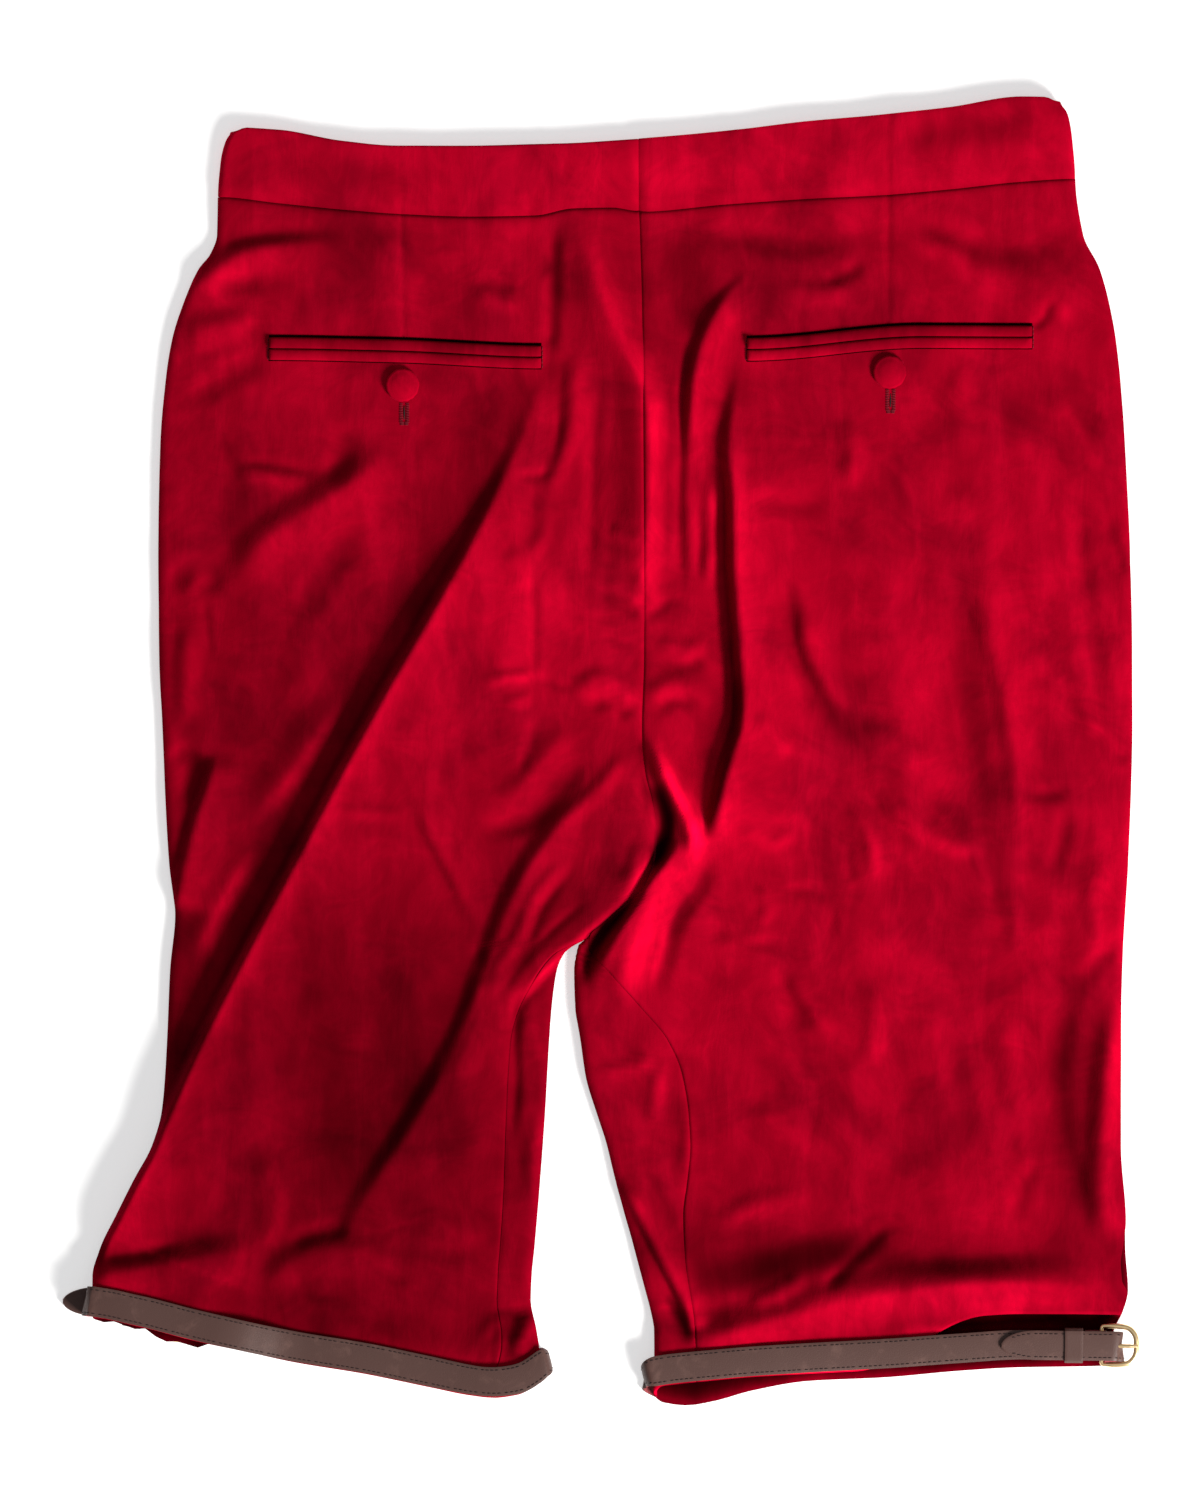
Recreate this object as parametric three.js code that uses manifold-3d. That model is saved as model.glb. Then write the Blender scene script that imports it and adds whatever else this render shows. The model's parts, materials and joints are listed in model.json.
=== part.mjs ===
// Velvet knee shorts with buckled leather knee straps, laid flat on a table with the back side up.
// Millimetres. +Y points to the waist, +Z up from the table, and the origin is the middle of the
// footprint on the table. Left and right are the wearer's, which are also the viewer's from above.
import * as THREE from "three";
import Module from "manifold-3d";

const wasm = await Module();
wasm.setup();

// Driving dimensions
const cloth = 1.4; // velvet wall
const band = 2.2; // interfaced waistband wall
const leather = 1.4; // knee strap thickness
const strapWidth = 14.5;
const seam = 0.3; // gap between sewn or touching pieces
const layGap = 3.1; // air between the front panel and the back panel where they lie on each other
const edgeRound = 4.5; // how far in from the outline the folded edge rounds over
const waistNominal = 270; // mean height of the waist seam above the origin
const hemNominal = -302; // mean height of the leg hems
const crotchTop = -82; // where the seat seam begins to turn under
const crotchRun = 26; // length over which the seat seam turns under between the legs
const hemTurn = 8.2; // cloth below the middle line of a knee strap
const ventRise = 23.5; // how far the right back hem is pulled up beside the buckle
const weltWidth = 5;
const weltThick = 1.2;
const buttonRadius = 8.3;
const buttonHeight = 5.2;
const wire = 1.05; // buckle frame wire radius
const prongRadius = 0.75;
const frameHalf = 9.9; // half width of the buckle frame at the middle of its wire
const keeperLength = 9;
const keeperWall = 1;

const half = cloth / 2;
const frontRest = half; // middle of the front panel's wall, which lies on the table
const backRest = cloth + layGap + half; // middle of the back panel's wall
const floorStrap = leather / 2; // middle of a strap that lies on the table
const strapStep = leather + seam; // from one strap layer to the next
const loopRound = wire + seam + leather / 2; // strap folded round the buckle bar

// Where each strap folds round the side of its leg, where its buckle, keeper and tip are, and how high
// the middle of its fixed layer is at the buckle. out is the way the buckle faces.
const straps = {
  left: { outerX: -256.5, innerX: -24.5, barX: -218, endX: -200.5, keeperX: -232.3, tipX: -268.4, out: -1,
    fixedZ: 3.7, endLift: 0.6, returnRun: 8 },
  right: { outerX: 260.5, innerX: 21.5, barX: 250, endX: 267.4, keeperX: 236, tipX: 200, out: 1,
    fixedZ: 9.6, endLift: -0.7, returnRun: 8 },
};

// Outer edge of each leg seen from above. vent is how far the back panel stops short of it.
const outerEdge = {
  left: [
    { y: 277, x: -191 },
    { y: 257, x: -191.5 },
    { y: 247, x: -195 },
    { y: 240, x: -200.5 },
    { y: 222, x: -208.5 },
    { y: 205, x: -213.8 },
    { y: 187, x: -216.8 },
    { y: 152, x: -219.8 },
    { y: 100, x: -220.8 },
    { y: 47, x: -220.3 },
    { y: 12, x: -218.8 },
    { y: -22, x: -217.3 },
    { y: -57, x: -215.3 },
    { y: -82, x: -212.3 },
    { y: -110, x: -214.8 },
    { y: -145, x: -216.3 },
    { y: -180, x: -218.8 },
    { y: -197, x: -223.3 },
    { y: -215, x: -232.8 },
    { y: -232, x: -241.3 },
    { y: -250, x: -250 },
    { y: -262, x: -253 },
    { y: -275, x: -253 },
    { y: -290, x: -252.5 },
    { y: -325, x: -252 },
  ],
  right: [
    { y: 286, x: 237.5, vent: 0 },
    { y: 257, x: 241.5, vent: 0 },
    { y: 240, x: 249.8, vent: 0 },
    { y: 222, x: 254.8, vent: 0 },
    { y: 205, x: 257.8, vent: 0 },
    { y: 170, x: 261.3, vent: 0 },
    { y: 135, x: 263.3, vent: 0 },
    { y: 100, x: 264.8, vent: 0 },
    { y: 47, x: 266, vent: 0 },
    { y: 12, x: 266.2, vent: 0 },
    { y: -57, x: 264, vent: 0 },
    { y: -96, x: 261.6, vent: 0 },
    { y: -145, x: 260.3, vent: 0 },
    { y: -197, x: 260.3, vent: 0 },
    { y: -232, x: 262.8, vent: 0 },
    { y: -250, x: 263.2, vent: 1 },
    { y: -270, x: 264.6, vent: 3 },
    { y: -281, x: 261.5, vent: 3 },
    { y: -290, x: 257, vent: 0.6 },
    { y: -304, x: 256.5, vent: 0.6 },
    { y: -330, x: 256.5, vent: 0.6 },
  ],
};

// Seat seam on the back, with the centre front seam straight beneath it.
const centreSeam = [
  { y: 286, x: 19 },
  { y: 257, x: 20 },
  { y: 222, x: 21 },
  { y: 187, x: 21.5 },
  { y: 100, x: 22 },
  { y: 47, x: 22 },
  { y: 12, x: 21.5 },
  { y: -22, x: 18 },
  { y: -57, x: 8 },
  { y: -82, x: -5 },
];

// Below the seat: the leg's own inner edge, and the inseam where the back panel ends on the upper side.
const innerEdge = {
  left: [
    { y: -82, x: -5, inseam: -5 },
    { y: -96, x: -15.5, inseam: -19 },
    { y: -110, x: -21.5, inseam: -30 },
    { y: -128, x: -24, inseam: -40 },
    { y: -145, x: -25.3, inseam: -45 },
    { y: -180, x: -27.3, inseam: -47 },
    { y: -215, x: -29.8, inseam: -48 },
    { y: -250, x: -32.8, inseam: -50 },
    { y: -262, x: -34, inseam: -51 },
    { y: -275, x: -34.5, inseam: -52 },
    { y: -290, x: -31.5, inseam: -53 },
    { y: -304, x: -29.8, inseam: -54 },
    { y: -325, x: -30.5, inseam: -54 },
  ],
  right: [
    { y: -82, x: -5, inseam: -5 },
    { y: -96, x: -12, inseam: -8 },
    { y: -110, x: -13, inseam: 6 },
    { y: -128, x: -12.5, inseam: 22 },
    { y: -145, x: -9.8, inseam: 35 },
    { y: -162, x: -7.5, inseam: 41 },
    { y: -180, x: -2.3, inseam: 44 },
    { y: -197, x: 3.3, inseam: 45 },
    { y: -215, x: 7.6, inseam: 43.5 },
    { y: -232, x: 12.3, inseam: 41.5 },
    { y: -250, x: 17.3, inseam: 41.5 },
    { y: -267, x: 21.8, inseam: 43.5 },
    { y: -281, x: 25.5, inseam: 46.5 },
    { y: -290, x: 27, inseam: 48 },
    { y: -304, x: 27, inseam: 48 },
    { y: -330, x: 26.5, inseam: 48 },
  ],
};

// Waist seam and the waistband's upper edge, across the back.
const waistLine = [
  { x: -191, seamY: 275.8, topY: 311 },
  { x: -160, seamY: 272.6, topY: 309.5 },
  { x: -129, seamY: 269.5, topY: 304 },
  { x: -100, seamY: 267.3, topY: 301.5 },
  { x: -65, seamY: 266, topY: 301.5 },
  { x: -32, seamY: 266.6, topY: 302.3 },
  { x: -14, seamY: 270, topY: 302.8 },
  { x: 6, seamY: 270.5, topY: 304 },
  { x: 20, seamY: 268.6, topY: 305 },
  { x: 64, seamY: 272.3, topY: 309 },
  { x: 104, seamY: 275, topY: 313.8 },
  { x: 143, seamY: 277, topY: 317.2 },
  { x: 175, seamY: 279.8, topY: 320.8 },
  { x: 210, seamY: 283.5, topY: 326 },
  { x: 237, seamY: 285, topY: 325.5 },
];

// Waist seam across the front, which is hidden.
const waistFront = [
  { x: -191, seamY: 275.8 },
  { x: 20, seamY: 268.6 },
  { x: 237, seamY: 285 },
];

// Sides of the waistband, by its own height.
const waistSides = [
  { share: 0, left: -190.8, right: 237.3 },
  { share: 0.5, left: -189.5, right: 235.8 },
  { share: 0.85, left: -187, right: 233.5 },
  { share: 1, left: -184.5, right: 230 },
];

// Middle line of each knee strap, on the back of the leg and on the front beneath it.
const strapLine = {
  left: [
    { x: -258, back: -273.8, front: -275.5 },
    { x: -226, back: -279.5, front: -281 },
    { x: -207, back: -284.5, front: -285.5 },
    { x: -188, back: -289, front: -288.5 },
    { x: -153, back: -297, front: -295 },
    { x: -118, back: -302.8, front: -301 },
    { x: -83, back: -310, front: -308 },
    { x: -65, back: -313.6, front: -311 },
    { x: -53, back: -314.8, front: -312 },
    { x: -41, back: -313.2, front: -311 },
    { x: -33, back: -309.5, front: -308.5 },
    { x: -27, back: -305.5, front: -305.5 },
  ],
  right: [
    { x: 20, back: -310.5, front: -313 },
    { x: 31, back: -308.8, front: -317.6 },
    { x: 43, back: -307.4, front: -319.2 },
    { x: 58, back: -306, front: -316.8 },
    { x: 75, back: -304.5, front: -312 },
    { x: 104, back: -302.8, front: -307 },
    { x: 142, back: -300.8, front: -305.2 },
    { x: 181, back: -298, front: -301.8 },
    { x: 209, back: -296.4, front: -300.2 },
    { x: 246, back: -296.8, front: -299.6 },
    { x: 262, back: -297, front: -299 },
  ],
};

// Pocket mouths, buttons.
const pockets = {
  left: { mouth: [{ x: -165, y: 200.2 }, { x: -100, y: 199 }, { x: -29.5, y: 196 }], button: [-98.5, 182] },
  right: {
    mouth: [{ x: 73.5, y: 199.8 }, { x: 160.5, y: 206.2 }, { x: 215.5, y: 206 }],
    button: [144.5, 188.5],
  },
};

// The largest folds of the upper side: a crest through its points, its height, how far it falls away on
// the left and on the right of the way it runs, and how sharp the crest is (0 round, 1 creased).
const folds = [
  { name: "long diagonal, left leg", height: 12, left: 96, right: 34, crisp: 0.8,
    path: [[-24, 204], [-61, 125], [-91, 55], [-136, -26], [-180, -114], [-222, -196]] },
  { name: "inner leg, left", height: 8, left: 16, right: 55, crisp: 0.5,
    path: [[-2, -86], [-28, -112], [-48, -145], [-66, -180], [-91, -212], [-122, -248]] },
  { name: "seat ridge", height: 6.5, left: 24, right: 24, crisp: 0.4,
    path: [[-10, 262], [11, 215], [22, 180], [24, 140], [22, 95], [17, 20]] },
  { name: "valley right of the seat seam", height: -2.2, left: 16, right: 16, crisp: 0,
    path: [[48, 240], [44, 180], [42, 110], [40, 40]] },
  { name: "right leg edge", height: 9, left: 12, right: 60, crisp: 0.6,
    path: [[50, -78], [57, -25], [68, 30], [67, 95], [63, 160], [76, 222]] },
  { name: "crotch ridge", height: 10, left: 15, right: 15, crisp: 0.4,
    path: [[18, 22], [34, 0], [46, -28], [49, -50], [38, -74], [20, -100], [4, -134], [2, -172]] },
  { name: "right hem swell", height: 4.5, left: 38, right: 16, crisp: 0.3,
    path: [[256, -262], [190, -266], [140, -268], [84, -282], [44, -296]] },
  { name: "left hem swell", height: 4, left: 24, right: 14, crisp: 0.2,
    path: [[-110, -252], [-150, -244], [-190, -252], [-250, -262]] },
  { name: "soft ridge down the right leg", height: 3.6, left: 45, right: 40, crisp: 0,
    path: [[130, 180], [165, 90], [192, -10], [205, -120]] },
  { name: "soft ridge beside the right edge", height: 3.4, left: 22, right: 26, crisp: 0,
    path: [[248, 60], [236, -60], [240, -160], [252, -250]] },
  { name: "hip crease, left", height: 2.8, left: 16, right: 20, crisp: 0.2,
    path: [[-196, 232], [-170, 214], [-120, 206]] },
  { name: "right thigh crease", height: 3, left: 18, right: 30, crisp: 0.3,
    path: [[96, 60], [120, 10], [170, -40], [196, -66]] },
  { name: "inner leg, right", height: 3.2, left: 12, right: 24, crisp: 0.4,
    path: [[30, -160], [44, -200], [41, -240], [47, -292]] },
];

const smooth = (from, to, x) => {
  const t = THREE.MathUtils.clamp((x - from) / (to - from), 0, 1);
  return t * t * (3 - 2 * t);
};
const mix = THREE.MathUtils.lerp;

// A smooth function through one column of a table, held level past its ends.
function through(rows, at, want) {
  const sorted = [...rows].sort((a, b) => a[at] - b[at]);
  const xs = sorted.map((row) => row[at]);
  const ys = sorted.map((row) => row[want]);
  const last = xs.length - 1;
  const slope = (i) => (ys[i + 1] - ys[i]) / (xs[i + 1] - xs[i]);
  const tangent = (i) => {
    if (i === 0 || i === last) return 0;
    const before = slope(i - 1);
    const after = slope(i);
    return before * after <= 0 ? 0 : (2 * before * after) / (before + after);
  };
  return (x) => {
    if (x <= xs[0]) return ys[0];
    if (x >= xs[last]) return ys[last];
    let i = 0;
    while (xs[i + 1] < x) i++;
    const step = xs[i + 1] - xs[i];
    const t = (x - xs[i]) / step;
    const rise = t * t * (3 - 2 * t);
    const out = t * (1 - t) * (1 - t) * step * tangent(i);
    const into = t * t * (t - 1) * step * tangent(i + 1);
    return ys[i] + (ys[i + 1] - ys[i]) * rise + out + into;
  };
}

const seamY = through(waistLine, "x", "seamY");
const topY = through(waistLine, "x", "topY");
const frontSeamY = through(waistFront, "x", "seamY");
const waistEdge = {
  left: through(waistSides, "share", "left"),
  right: through(waistSides, "share", "right"),
};
const lineOf = (side, run) => through(strapLine[side], "x", run);
const strapY = {
  left: { back: lineOf("left", "back"), front: lineOf("left", "front") },
  right: { back: lineOf("right", "back"), front: lineOf("right", "front") },
};
const centre = through(centreSeam, "y", "x");
const vent = through(outerEdge.right, "y", "vent");
const belowSeat = (side, column) => {
  const own = through(innerEdge[side], "y", column);
  return (y) => (y > crotchTop ? centre(y) : own(y));
};
const edgesOf = (side) => ({
  outer: through(outerEdge[side], "y", "x"),
  inner: belowSeat(side, "x"),
  inseam: belowSeat(side, "inseam"),
});
const edges = { left: edgesOf("left"), right: edgesOf("right") };
const ventOf = (side, y) => (side === "right" ? vent(y) : 0);

// On the right leg the back hem is pulled up clear of the strap beside the buckle.
const backHem = {
  left: (x) => strapY.left.back(x) - hemTurn,
  right: (x) => strapY.right.back(x) - hemTurn + ventRise * smooth(128, 192, x),
};
const frontHem = {
  left: (x) => strapY.left.front(x) - hemTurn,
  right: (x) => strapY.right.front(x) - hemTurn,
};

// Height that one fold adds at a point.
const foldSteps = 24;
for (const fold of folds) {
  const curve = new THREE.SplineCurve(fold.path.map(([x, y]) => new THREE.Vector2(x, y)));
  fold.points = curve.getSpacedPoints(foldSteps);
}
function foldHeight(fold, x, y) {
  let best = { distance: Infinity, side: 1, along: 0 };
  for (let i = 0; i < foldSteps; i++) {
    const a = fold.points[i];
    const b = fold.points[i + 1];
    const ex = b.x - a.x;
    const ey = b.y - a.y;
    const t = THREE.MathUtils.clamp(((x - a.x) * ex + (y - a.y) * ey) / (ex * ex + ey * ey), 0, 1);
    const distance = Math.hypot(x - a.x - t * ex, y - a.y - t * ey);
    if (distance < best.distance) {
      best = { distance, side: ex * (y - a.y) - ey * (x - a.x), along: (i + t) / foldSteps };
    }
  }
  const share = best.distance / (best.side > 0 ? fold.left : fold.right);
  if (share >= 1) return 0;
  const round = 0.5 + 0.5 * Math.cos(Math.PI * share);
  const creased = (1 - share) ** 2;
  const taper = smooth(0, 0.2, best.along) * smooth(0, 0.2, 1 - best.along);
  return fold.height * taper * mix(round, creased, fold.crisp);
}

const sideOf = (x, y) => (x < edges.left.inner(y) + 2 ? "left" : "right");
const buckleLift = (x, y) => smooth(-165, -198, x) * smooth(-236, -266, y);

// Middle of the upper wall (back panel) and of the lower wall (front panel) above the table.
function upper(x, y) {
  const side = sideOf(x, y);
  const above = y - strapY[side].back(x);
  const hemSwell = 2.4 * smooth(28, 9, above);
  const innerSwell = side === "left" ? smooth(-70, -38, x) : smooth(70, 34, x);
  const waistSwell = 0.9 * smooth(255, 270, y);
  let z = backRest + hemSwell + 1.2 * innerSwell * smooth(30, 9, above) + waistSwell;
  if (side === "left") z += 6.6 * buckleLift(x, y);
  for (const fold of folds) z += foldHeight(fold, x, y);
  return z;
}
function lower(x, y, side) {
  const above = y - strapY[side].front(x);
  let z = frontRest + strapStep * smooth(36, 14, above);
  if (side === "left") z += 7.2 * buckleLift(x, y);
  return z;
}

// A closed wall of one thickness about a grid of middle points, points[row][column].
function wall(points, thickness) {
  const rows = points.length;
  const cols = points[0].length;
  const position = [];
  const index = [];
  const at = (r, c) => points[THREE.MathUtils.clamp(r, 0, rows - 1)][THREE.MathUtils.clamp(c, 0, cols - 1)];
  for (const half of [thickness / 2, -thickness / 2]) {
    for (let r = 0; r < rows; r++) {
      for (let c = 0; c < cols; c++) {
        const across = at(r, c + 1).clone().sub(at(r, c - 1));
        const along = at(r + 1, c).clone().sub(at(r - 1, c));
        const normal = across.cross(along).normalize();
        position.push(...at(r, c).clone().addScaledVector(normal, half).toArray());
      }
    }
  }
  const vertex = (sheet, r, c) => sheet * rows * cols + r * cols + c;
  const quad = (a, b, c, d) => index.push(a, b, c, a, c, d);
  for (let r = 0; r < rows - 1; r++) {
    for (let c = 0; c < cols - 1; c++) {
      quad(vertex(0, r, c), vertex(0, r, c + 1), vertex(0, r + 1, c + 1), vertex(0, r + 1, c));
      quad(vertex(1, r, c), vertex(1, r + 1, c), vertex(1, r + 1, c + 1), vertex(1, r, c + 1));
    }
  }
  for (let c = 0; c < cols - 1; c++) {
    quad(vertex(0, 0, c), vertex(1, 0, c), vertex(1, 0, c + 1), vertex(0, 0, c + 1));
    const last = rows - 1;
    quad(vertex(0, last, c + 1), vertex(1, last, c + 1), vertex(1, last, c), vertex(0, last, c));
  }
  for (let r = 0; r < rows - 1; r++) {
    quad(vertex(0, r + 1, 0), vertex(1, r + 1, 0), vertex(1, r, 0), vertex(0, r, 0));
    const last = cols - 1;
    quad(vertex(0, r, last), vertex(1, r, last), vertex(1, r + 1, last), vertex(0, r + 1, last));
  }
  return facingOut(position, index);
}

function facingOut(position, index) {
  const corner = (i) => new THREE.Vector3().fromArray(position, 3 * i);
  let volume = 0;
  for (let i = 0; i < index.length; i += 3) {
    volume += corner(index[i]).dot(corner(index[i + 1]).cross(corner(index[i + 2])));
  }
  if (volume < 0) index.reverse();
  return new THREE.BufferGeometry()
    .setAttribute("position", new THREE.BufferAttribute(new Float32Array(position), 3))
    .setIndex(index);
}

// A closed solid through rings of points: round in a loop, or with both ends closed.
function swept(rings, looped, lastTip) {
  const count = rings.length;
  const sides = rings[0].length;
  const position = rings.flat().flatMap((point) => point.toArray());
  const index = [];
  for (let k = 0; k < (looped ? count : count - 1); k++) {
    for (let j = 0; j < sides; j++) {
      const a = k * sides + j;
      const b = k * sides + ((j + 1) % sides);
      const c = ((k + 1) % count) * sides + ((j + 1) % sides);
      const d = ((k + 1) % count) * sides + j;
      index.push(a, b, c, a, c, d);
    }
  }
  const middle = (ring) =>
    ring.reduce((sum, point) => sum.add(point), new THREE.Vector3()).divideScalar(sides);
  if (!looped) {
    position.push(...middle(rings[0]).toArray(), ...(lastTip ?? middle(rings[count - 1])).toArray());
    for (let j = 0; j < sides; j++) {
      index.push(count * sides, (j + 1) % sides, j);
      index.push(count * sides + 1, (count - 1) * sides + j, (count - 1) * sides + ((j + 1) % sides));
    }
  }
  return facingOut(position, index);
}

// A round rod along a curve.
function rod(curve, steps, radius, looped) {
  const frames = curve.computeFrenetFrames(steps, looped);
  const sides = 6;
  const rings = Array.from({ length: looped ? steps : steps + 1 }, (_, k) => {
    const middle = curve.getPointAt(k / steps);
    return Array.from({ length: sides }, (_, j) => {
      const angle = (2 * Math.PI * j) / sides;
      return middle.clone()
        .addScaledVector(frames.normals[k], radius * Math.cos(angle))
        .addScaledVector(frames.binormals[k], radius * Math.sin(angle));
    });
  });
  return swept(rings, looped);
}

// Heights of the rows of a leg, closer together at the hem and at the crotch.
const rowRuns = [
  { from: hemNominal, to: -260, rows: 4 },
  { from: -260, to: -128, rows: 8 },
  { from: -128, to: -58, rows: 7 },
  { from: -58, to: waistNominal, rows: 14 },
];
const rowHeights = rowRuns.flatMap(({ from, to, rows }) =>
  Array.from({ length: rows }, (_, i) => mix(from, to, i / rows)));
rowHeights.push(waistNominal);

const outwards = { left: -1, right: 1 };
const turnUnder = (y) => smooth(crotchTop + crotchRun, crotchTop - 6, y);
const sewn = seam / 2 + 0.12; // from a centre seam to the edge of the wall on each side
const quarter = (share) => 1 - Math.sqrt(Math.max(0, 1 - share * share));

// Where the wall of a row turns round the inner edge, and how far in from there the inseam lies.
function rimOf(side, y) {
  const way = outwards[side];
  const inset = sewn + half * turnUnder(y);
  const wide = Math.abs(edges[side].inseam(y) - edges[side].inner(y));
  return { rim: edges[side].inner(y) + way * inset, wrap: Math.max(0, wide - inset), apart: y > crotchTop ? 0
    : mix(0.65, 0.27, smooth(4, 12, wide)) + 0.4 * smooth(-160, -135, y) };
}

// Stations of one row: x, and m, which is 0 on the lower wall and 1 on the upper wall.
const bendAngles = [18, 50, 90].map((angle) => THREE.MathUtils.degToRad(angle));
function firstAngle(side, x, y) {
  const height = upper(x, y) - lower(x, y, side);
  return Math.min(0.22, (2.9 * seam) / height) + 0.05 * smooth(-228, -248, y);
}
function backStations(side, y) {
  const way = outwards[side];
  const curl = 1 - smooth(0, 0.6, ventOf(side, y));
  const start = edges[side].outer(y) - way * (half + ventOf(side, y));
  const { rim, wrap, apart } = rimOf(side, y);
  const width = Math.abs(rim - start) - (wrap > 0 ? wrap + apart : apart);
  const flatCols = 23;
  const list = [];
  for (const angle of [firstAngle(side, start, y), ...bendAngles]) {
    list.push({ d: edgeRound * (1 - Math.cos(angle)), m: 1 - 0.5 * curl * (1 - Math.sin(angle)) });
  }
  for (let i = 1; i <= flatCols; i++) {
    const share = (i / flatCols) * (1.2 - (0.2 * i) / flatCols);
    list.push({ d: mix(edgeRound, width, share), m: 1 });
  }
  return list.map(({ d, m }) => {
    const x = start - way * d;
    const near = THREE.MathUtils.clamp(1 - Math.abs(x - rim) / edgeRound, 0, 1);
    return { x, m: m - 0.5 * turnUnder(y) * quarter(near) };
  });
}

function frontStations(side, y) {
  const way = outwards[side];
  const start = edges[side].outer(y) - way * half;
  const { rim, wrap, apart } = rimOf(side, y);
  const strip = wrap - apart;
  const height = (x) => upper(x, y) - lower(x, y, side);
  const line = [];
  const add = (x, m) => line.push({ x, m, z: m * height(x) });
  const steps = 10;
  for (let i = 0; i <= steps; i++) {
    const angle = mix(firstAngle(side, start, y), Math.PI / 2, i / steps);
    add(start - way * edgeRound * (1 - Math.cos(angle)), 0.5 * (1 - Math.sin(angle)));
  }
  const outerMark = line.length - 1;
  for (let i = 1; i <= steps; i++) add(mix(start - way * edgeRound, rim + way * edgeRound, i / steps), 0);
  const innerMark = line.length - 1;
  for (let i = 1; i <= steps; i++) {
    const angle = mix(0, Math.PI / 2, i / steps);
    add(rim + way * edgeRound * (1 - Math.sin(angle)), 0.5 * turnUnder(y) * (1 - Math.cos(angle)));
  }
  let topMark = line.length - 1;
  if (strip > 0.3) {
    const bendTo = Math.min(strip, edgeRound);
    for (let i = 1; i <= steps; i++) {
      const d = bendTo * (i / steps) ** 2;
      add(rim + way * d, 1 - 0.5 * quarter(1 - d / edgeRound));
    }
    topMark = line.length - 1;
    for (let i = 1; i <= steps && strip > edgeRound; i++) {
      add(rim + way * mix(edgeRound, strip, i / steps), 1);
    }
  }
  const lengths = [0];
  for (let i = 1; i < line.length; i++) {
    lengths.push(lengths[i - 1] + Math.hypot(line[i].x - line[i - 1].x, line[i].z - line[i - 1].z));
  }
  const total = lengths[lengths.length - 1];
  const topLength = Math.min(lengths[topMark], total - 2.4);
  const innerLength = Math.min(lengths[innerMark], topLength - 8);
  const runs = [
    { from: 0, to: lengths[outerMark], cols: 3 },
    { from: lengths[outerMark], to: innerLength, cols: 7, denser: 1.5 },
    { from: innerLength, to: topLength, cols: 5 },
    { from: topLength, to: total, cols: 3 },
  ];
  const wanted = runs.flatMap(({ from, to, cols, denser = 1 }) =>
    Array.from({ length: cols }, (_, i) => mix(from, to, (i / cols) ** denser)));
  wanted.push(total);
  let at = 0;
  return wanted.map((length) => {
    while (at < line.length - 2 && lengths[at + 1] < length) at++;
    const t = THREE.MathUtils.clamp((length - lengths[at]) / (lengths[at + 1] - lengths[at]), 0, 1);
    return { x: mix(line[at].x, line[at + 1].x, t), m: mix(line[at].m, line[at + 1].m, t) };
  });
}

// A panel's middle points: the stations of each row, moved to the real hem and waist seam.
function panelPoints(side, stations) {
  const { outer, inner } = edges[side];
  return rowHeights.map((row) => {
    const atHem = smooth(hemNominal + 74, hemNominal, row);
    const atWaist = smooth(waistNominal - 60, waistNominal, row);
    return stations(side, row).map(({ x, m }) => {
      const share = (x - outer(row)) / (inner(row) - outer(row));
      let y = row;
      let moved = x;
      for (let pass = 0; pass < 3; pass++) {
        const hem = mix(frontHem[side](moved), backHem[side](moved), m) - hemNominal;
        const waist = mix(frontSeamY(moved), seamY(moved), m) - waistNominal;
        y = row + atHem * hem + atWaist * waist;
        moved = x + mix(outer(y) - outer(row), inner(y) - inner(row), share);
      }
      return new THREE.Vector3(moved, y, mix(lower(moved, y, side), upper(moved, y), m));
    });
  });
}

const group = new THREE.Group();
group.name = "velvet_knee_shorts";
const looks = {
  velvet: { color: 0x8c1424, roughness: 0.85, metalness: 0 },
  leather: { color: 0x4a3030, roughness: 0.55, metalness: 0 },
  brass: { color: 0xb8923f, roughness: 0.3, metalness: 1 },
};
const made = {};
function add(name, geometry, look) {
  const mesh = new THREE.Mesh(geometry, new THREE.MeshStandardMaterial({ ...looks[look], name: look }));
  mesh.name = name;
  made[name] = mesh;
  group.add(mesh);
}

for (const side of ["left", "right"]) {
  add(`back_${side}`, wall(panelPoints(side, backStations), cloth), "velvet");
  add(`front_${side}`, wall(panelPoints(side, frontStations), cloth), "velvet");
}

// Waistband halves: from the centre back seam, round the side fold, to the centre front beneath.
const bandRows = 3;
const bandBack = backRest + 0.9 + (band - cloth) / 2;
for (const side of ["left", "right"]) {
  const way = outwards[side];
  const points = [];
  for (let r = 0; r <= bandRows; r++) {
    const v = r / bandRows;
    const edge = waistEdge[side](v) - (way * band) / 2;
    const round = (bandBack - band / 2) / 2;
    const turn = edge - way * round;
    const row = [];
    const put = (x, z, m) =>
      row.push(new THREE.Vector3(x, mix(mix(frontSeamY(x), seamY(x), m) + seam + 0.25, topY(x), v), z));
    const topZ = (x) => mix(upper(x, seamY(x)) + (band - cloth) / 2, bandBack, smooth(0, 0.7, v));
    for (let i = 0; i < 16; i++) {
      const x = mix(centre(270) + way * sewn, turn, i / 16);
      put(x, topZ(x), 1);
    }
    for (let i = 0; i <= 6; i++) {
      const angle = (Math.PI * i) / 6;
      const m = 0.5 + 0.5 * Math.cos(angle);
      put(turn + way * round * Math.sin(angle), mix(band / 2, topZ(turn), m), m);
    }
    for (let i = 1; i <= 6; i++) put(mix(turn, centre(270) + way * sewn, i / 6), band / 2, 0);
    points.push(row);
  }
  add(`waistband_${side}`, wall(points, band), "velvet");
}

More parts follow.
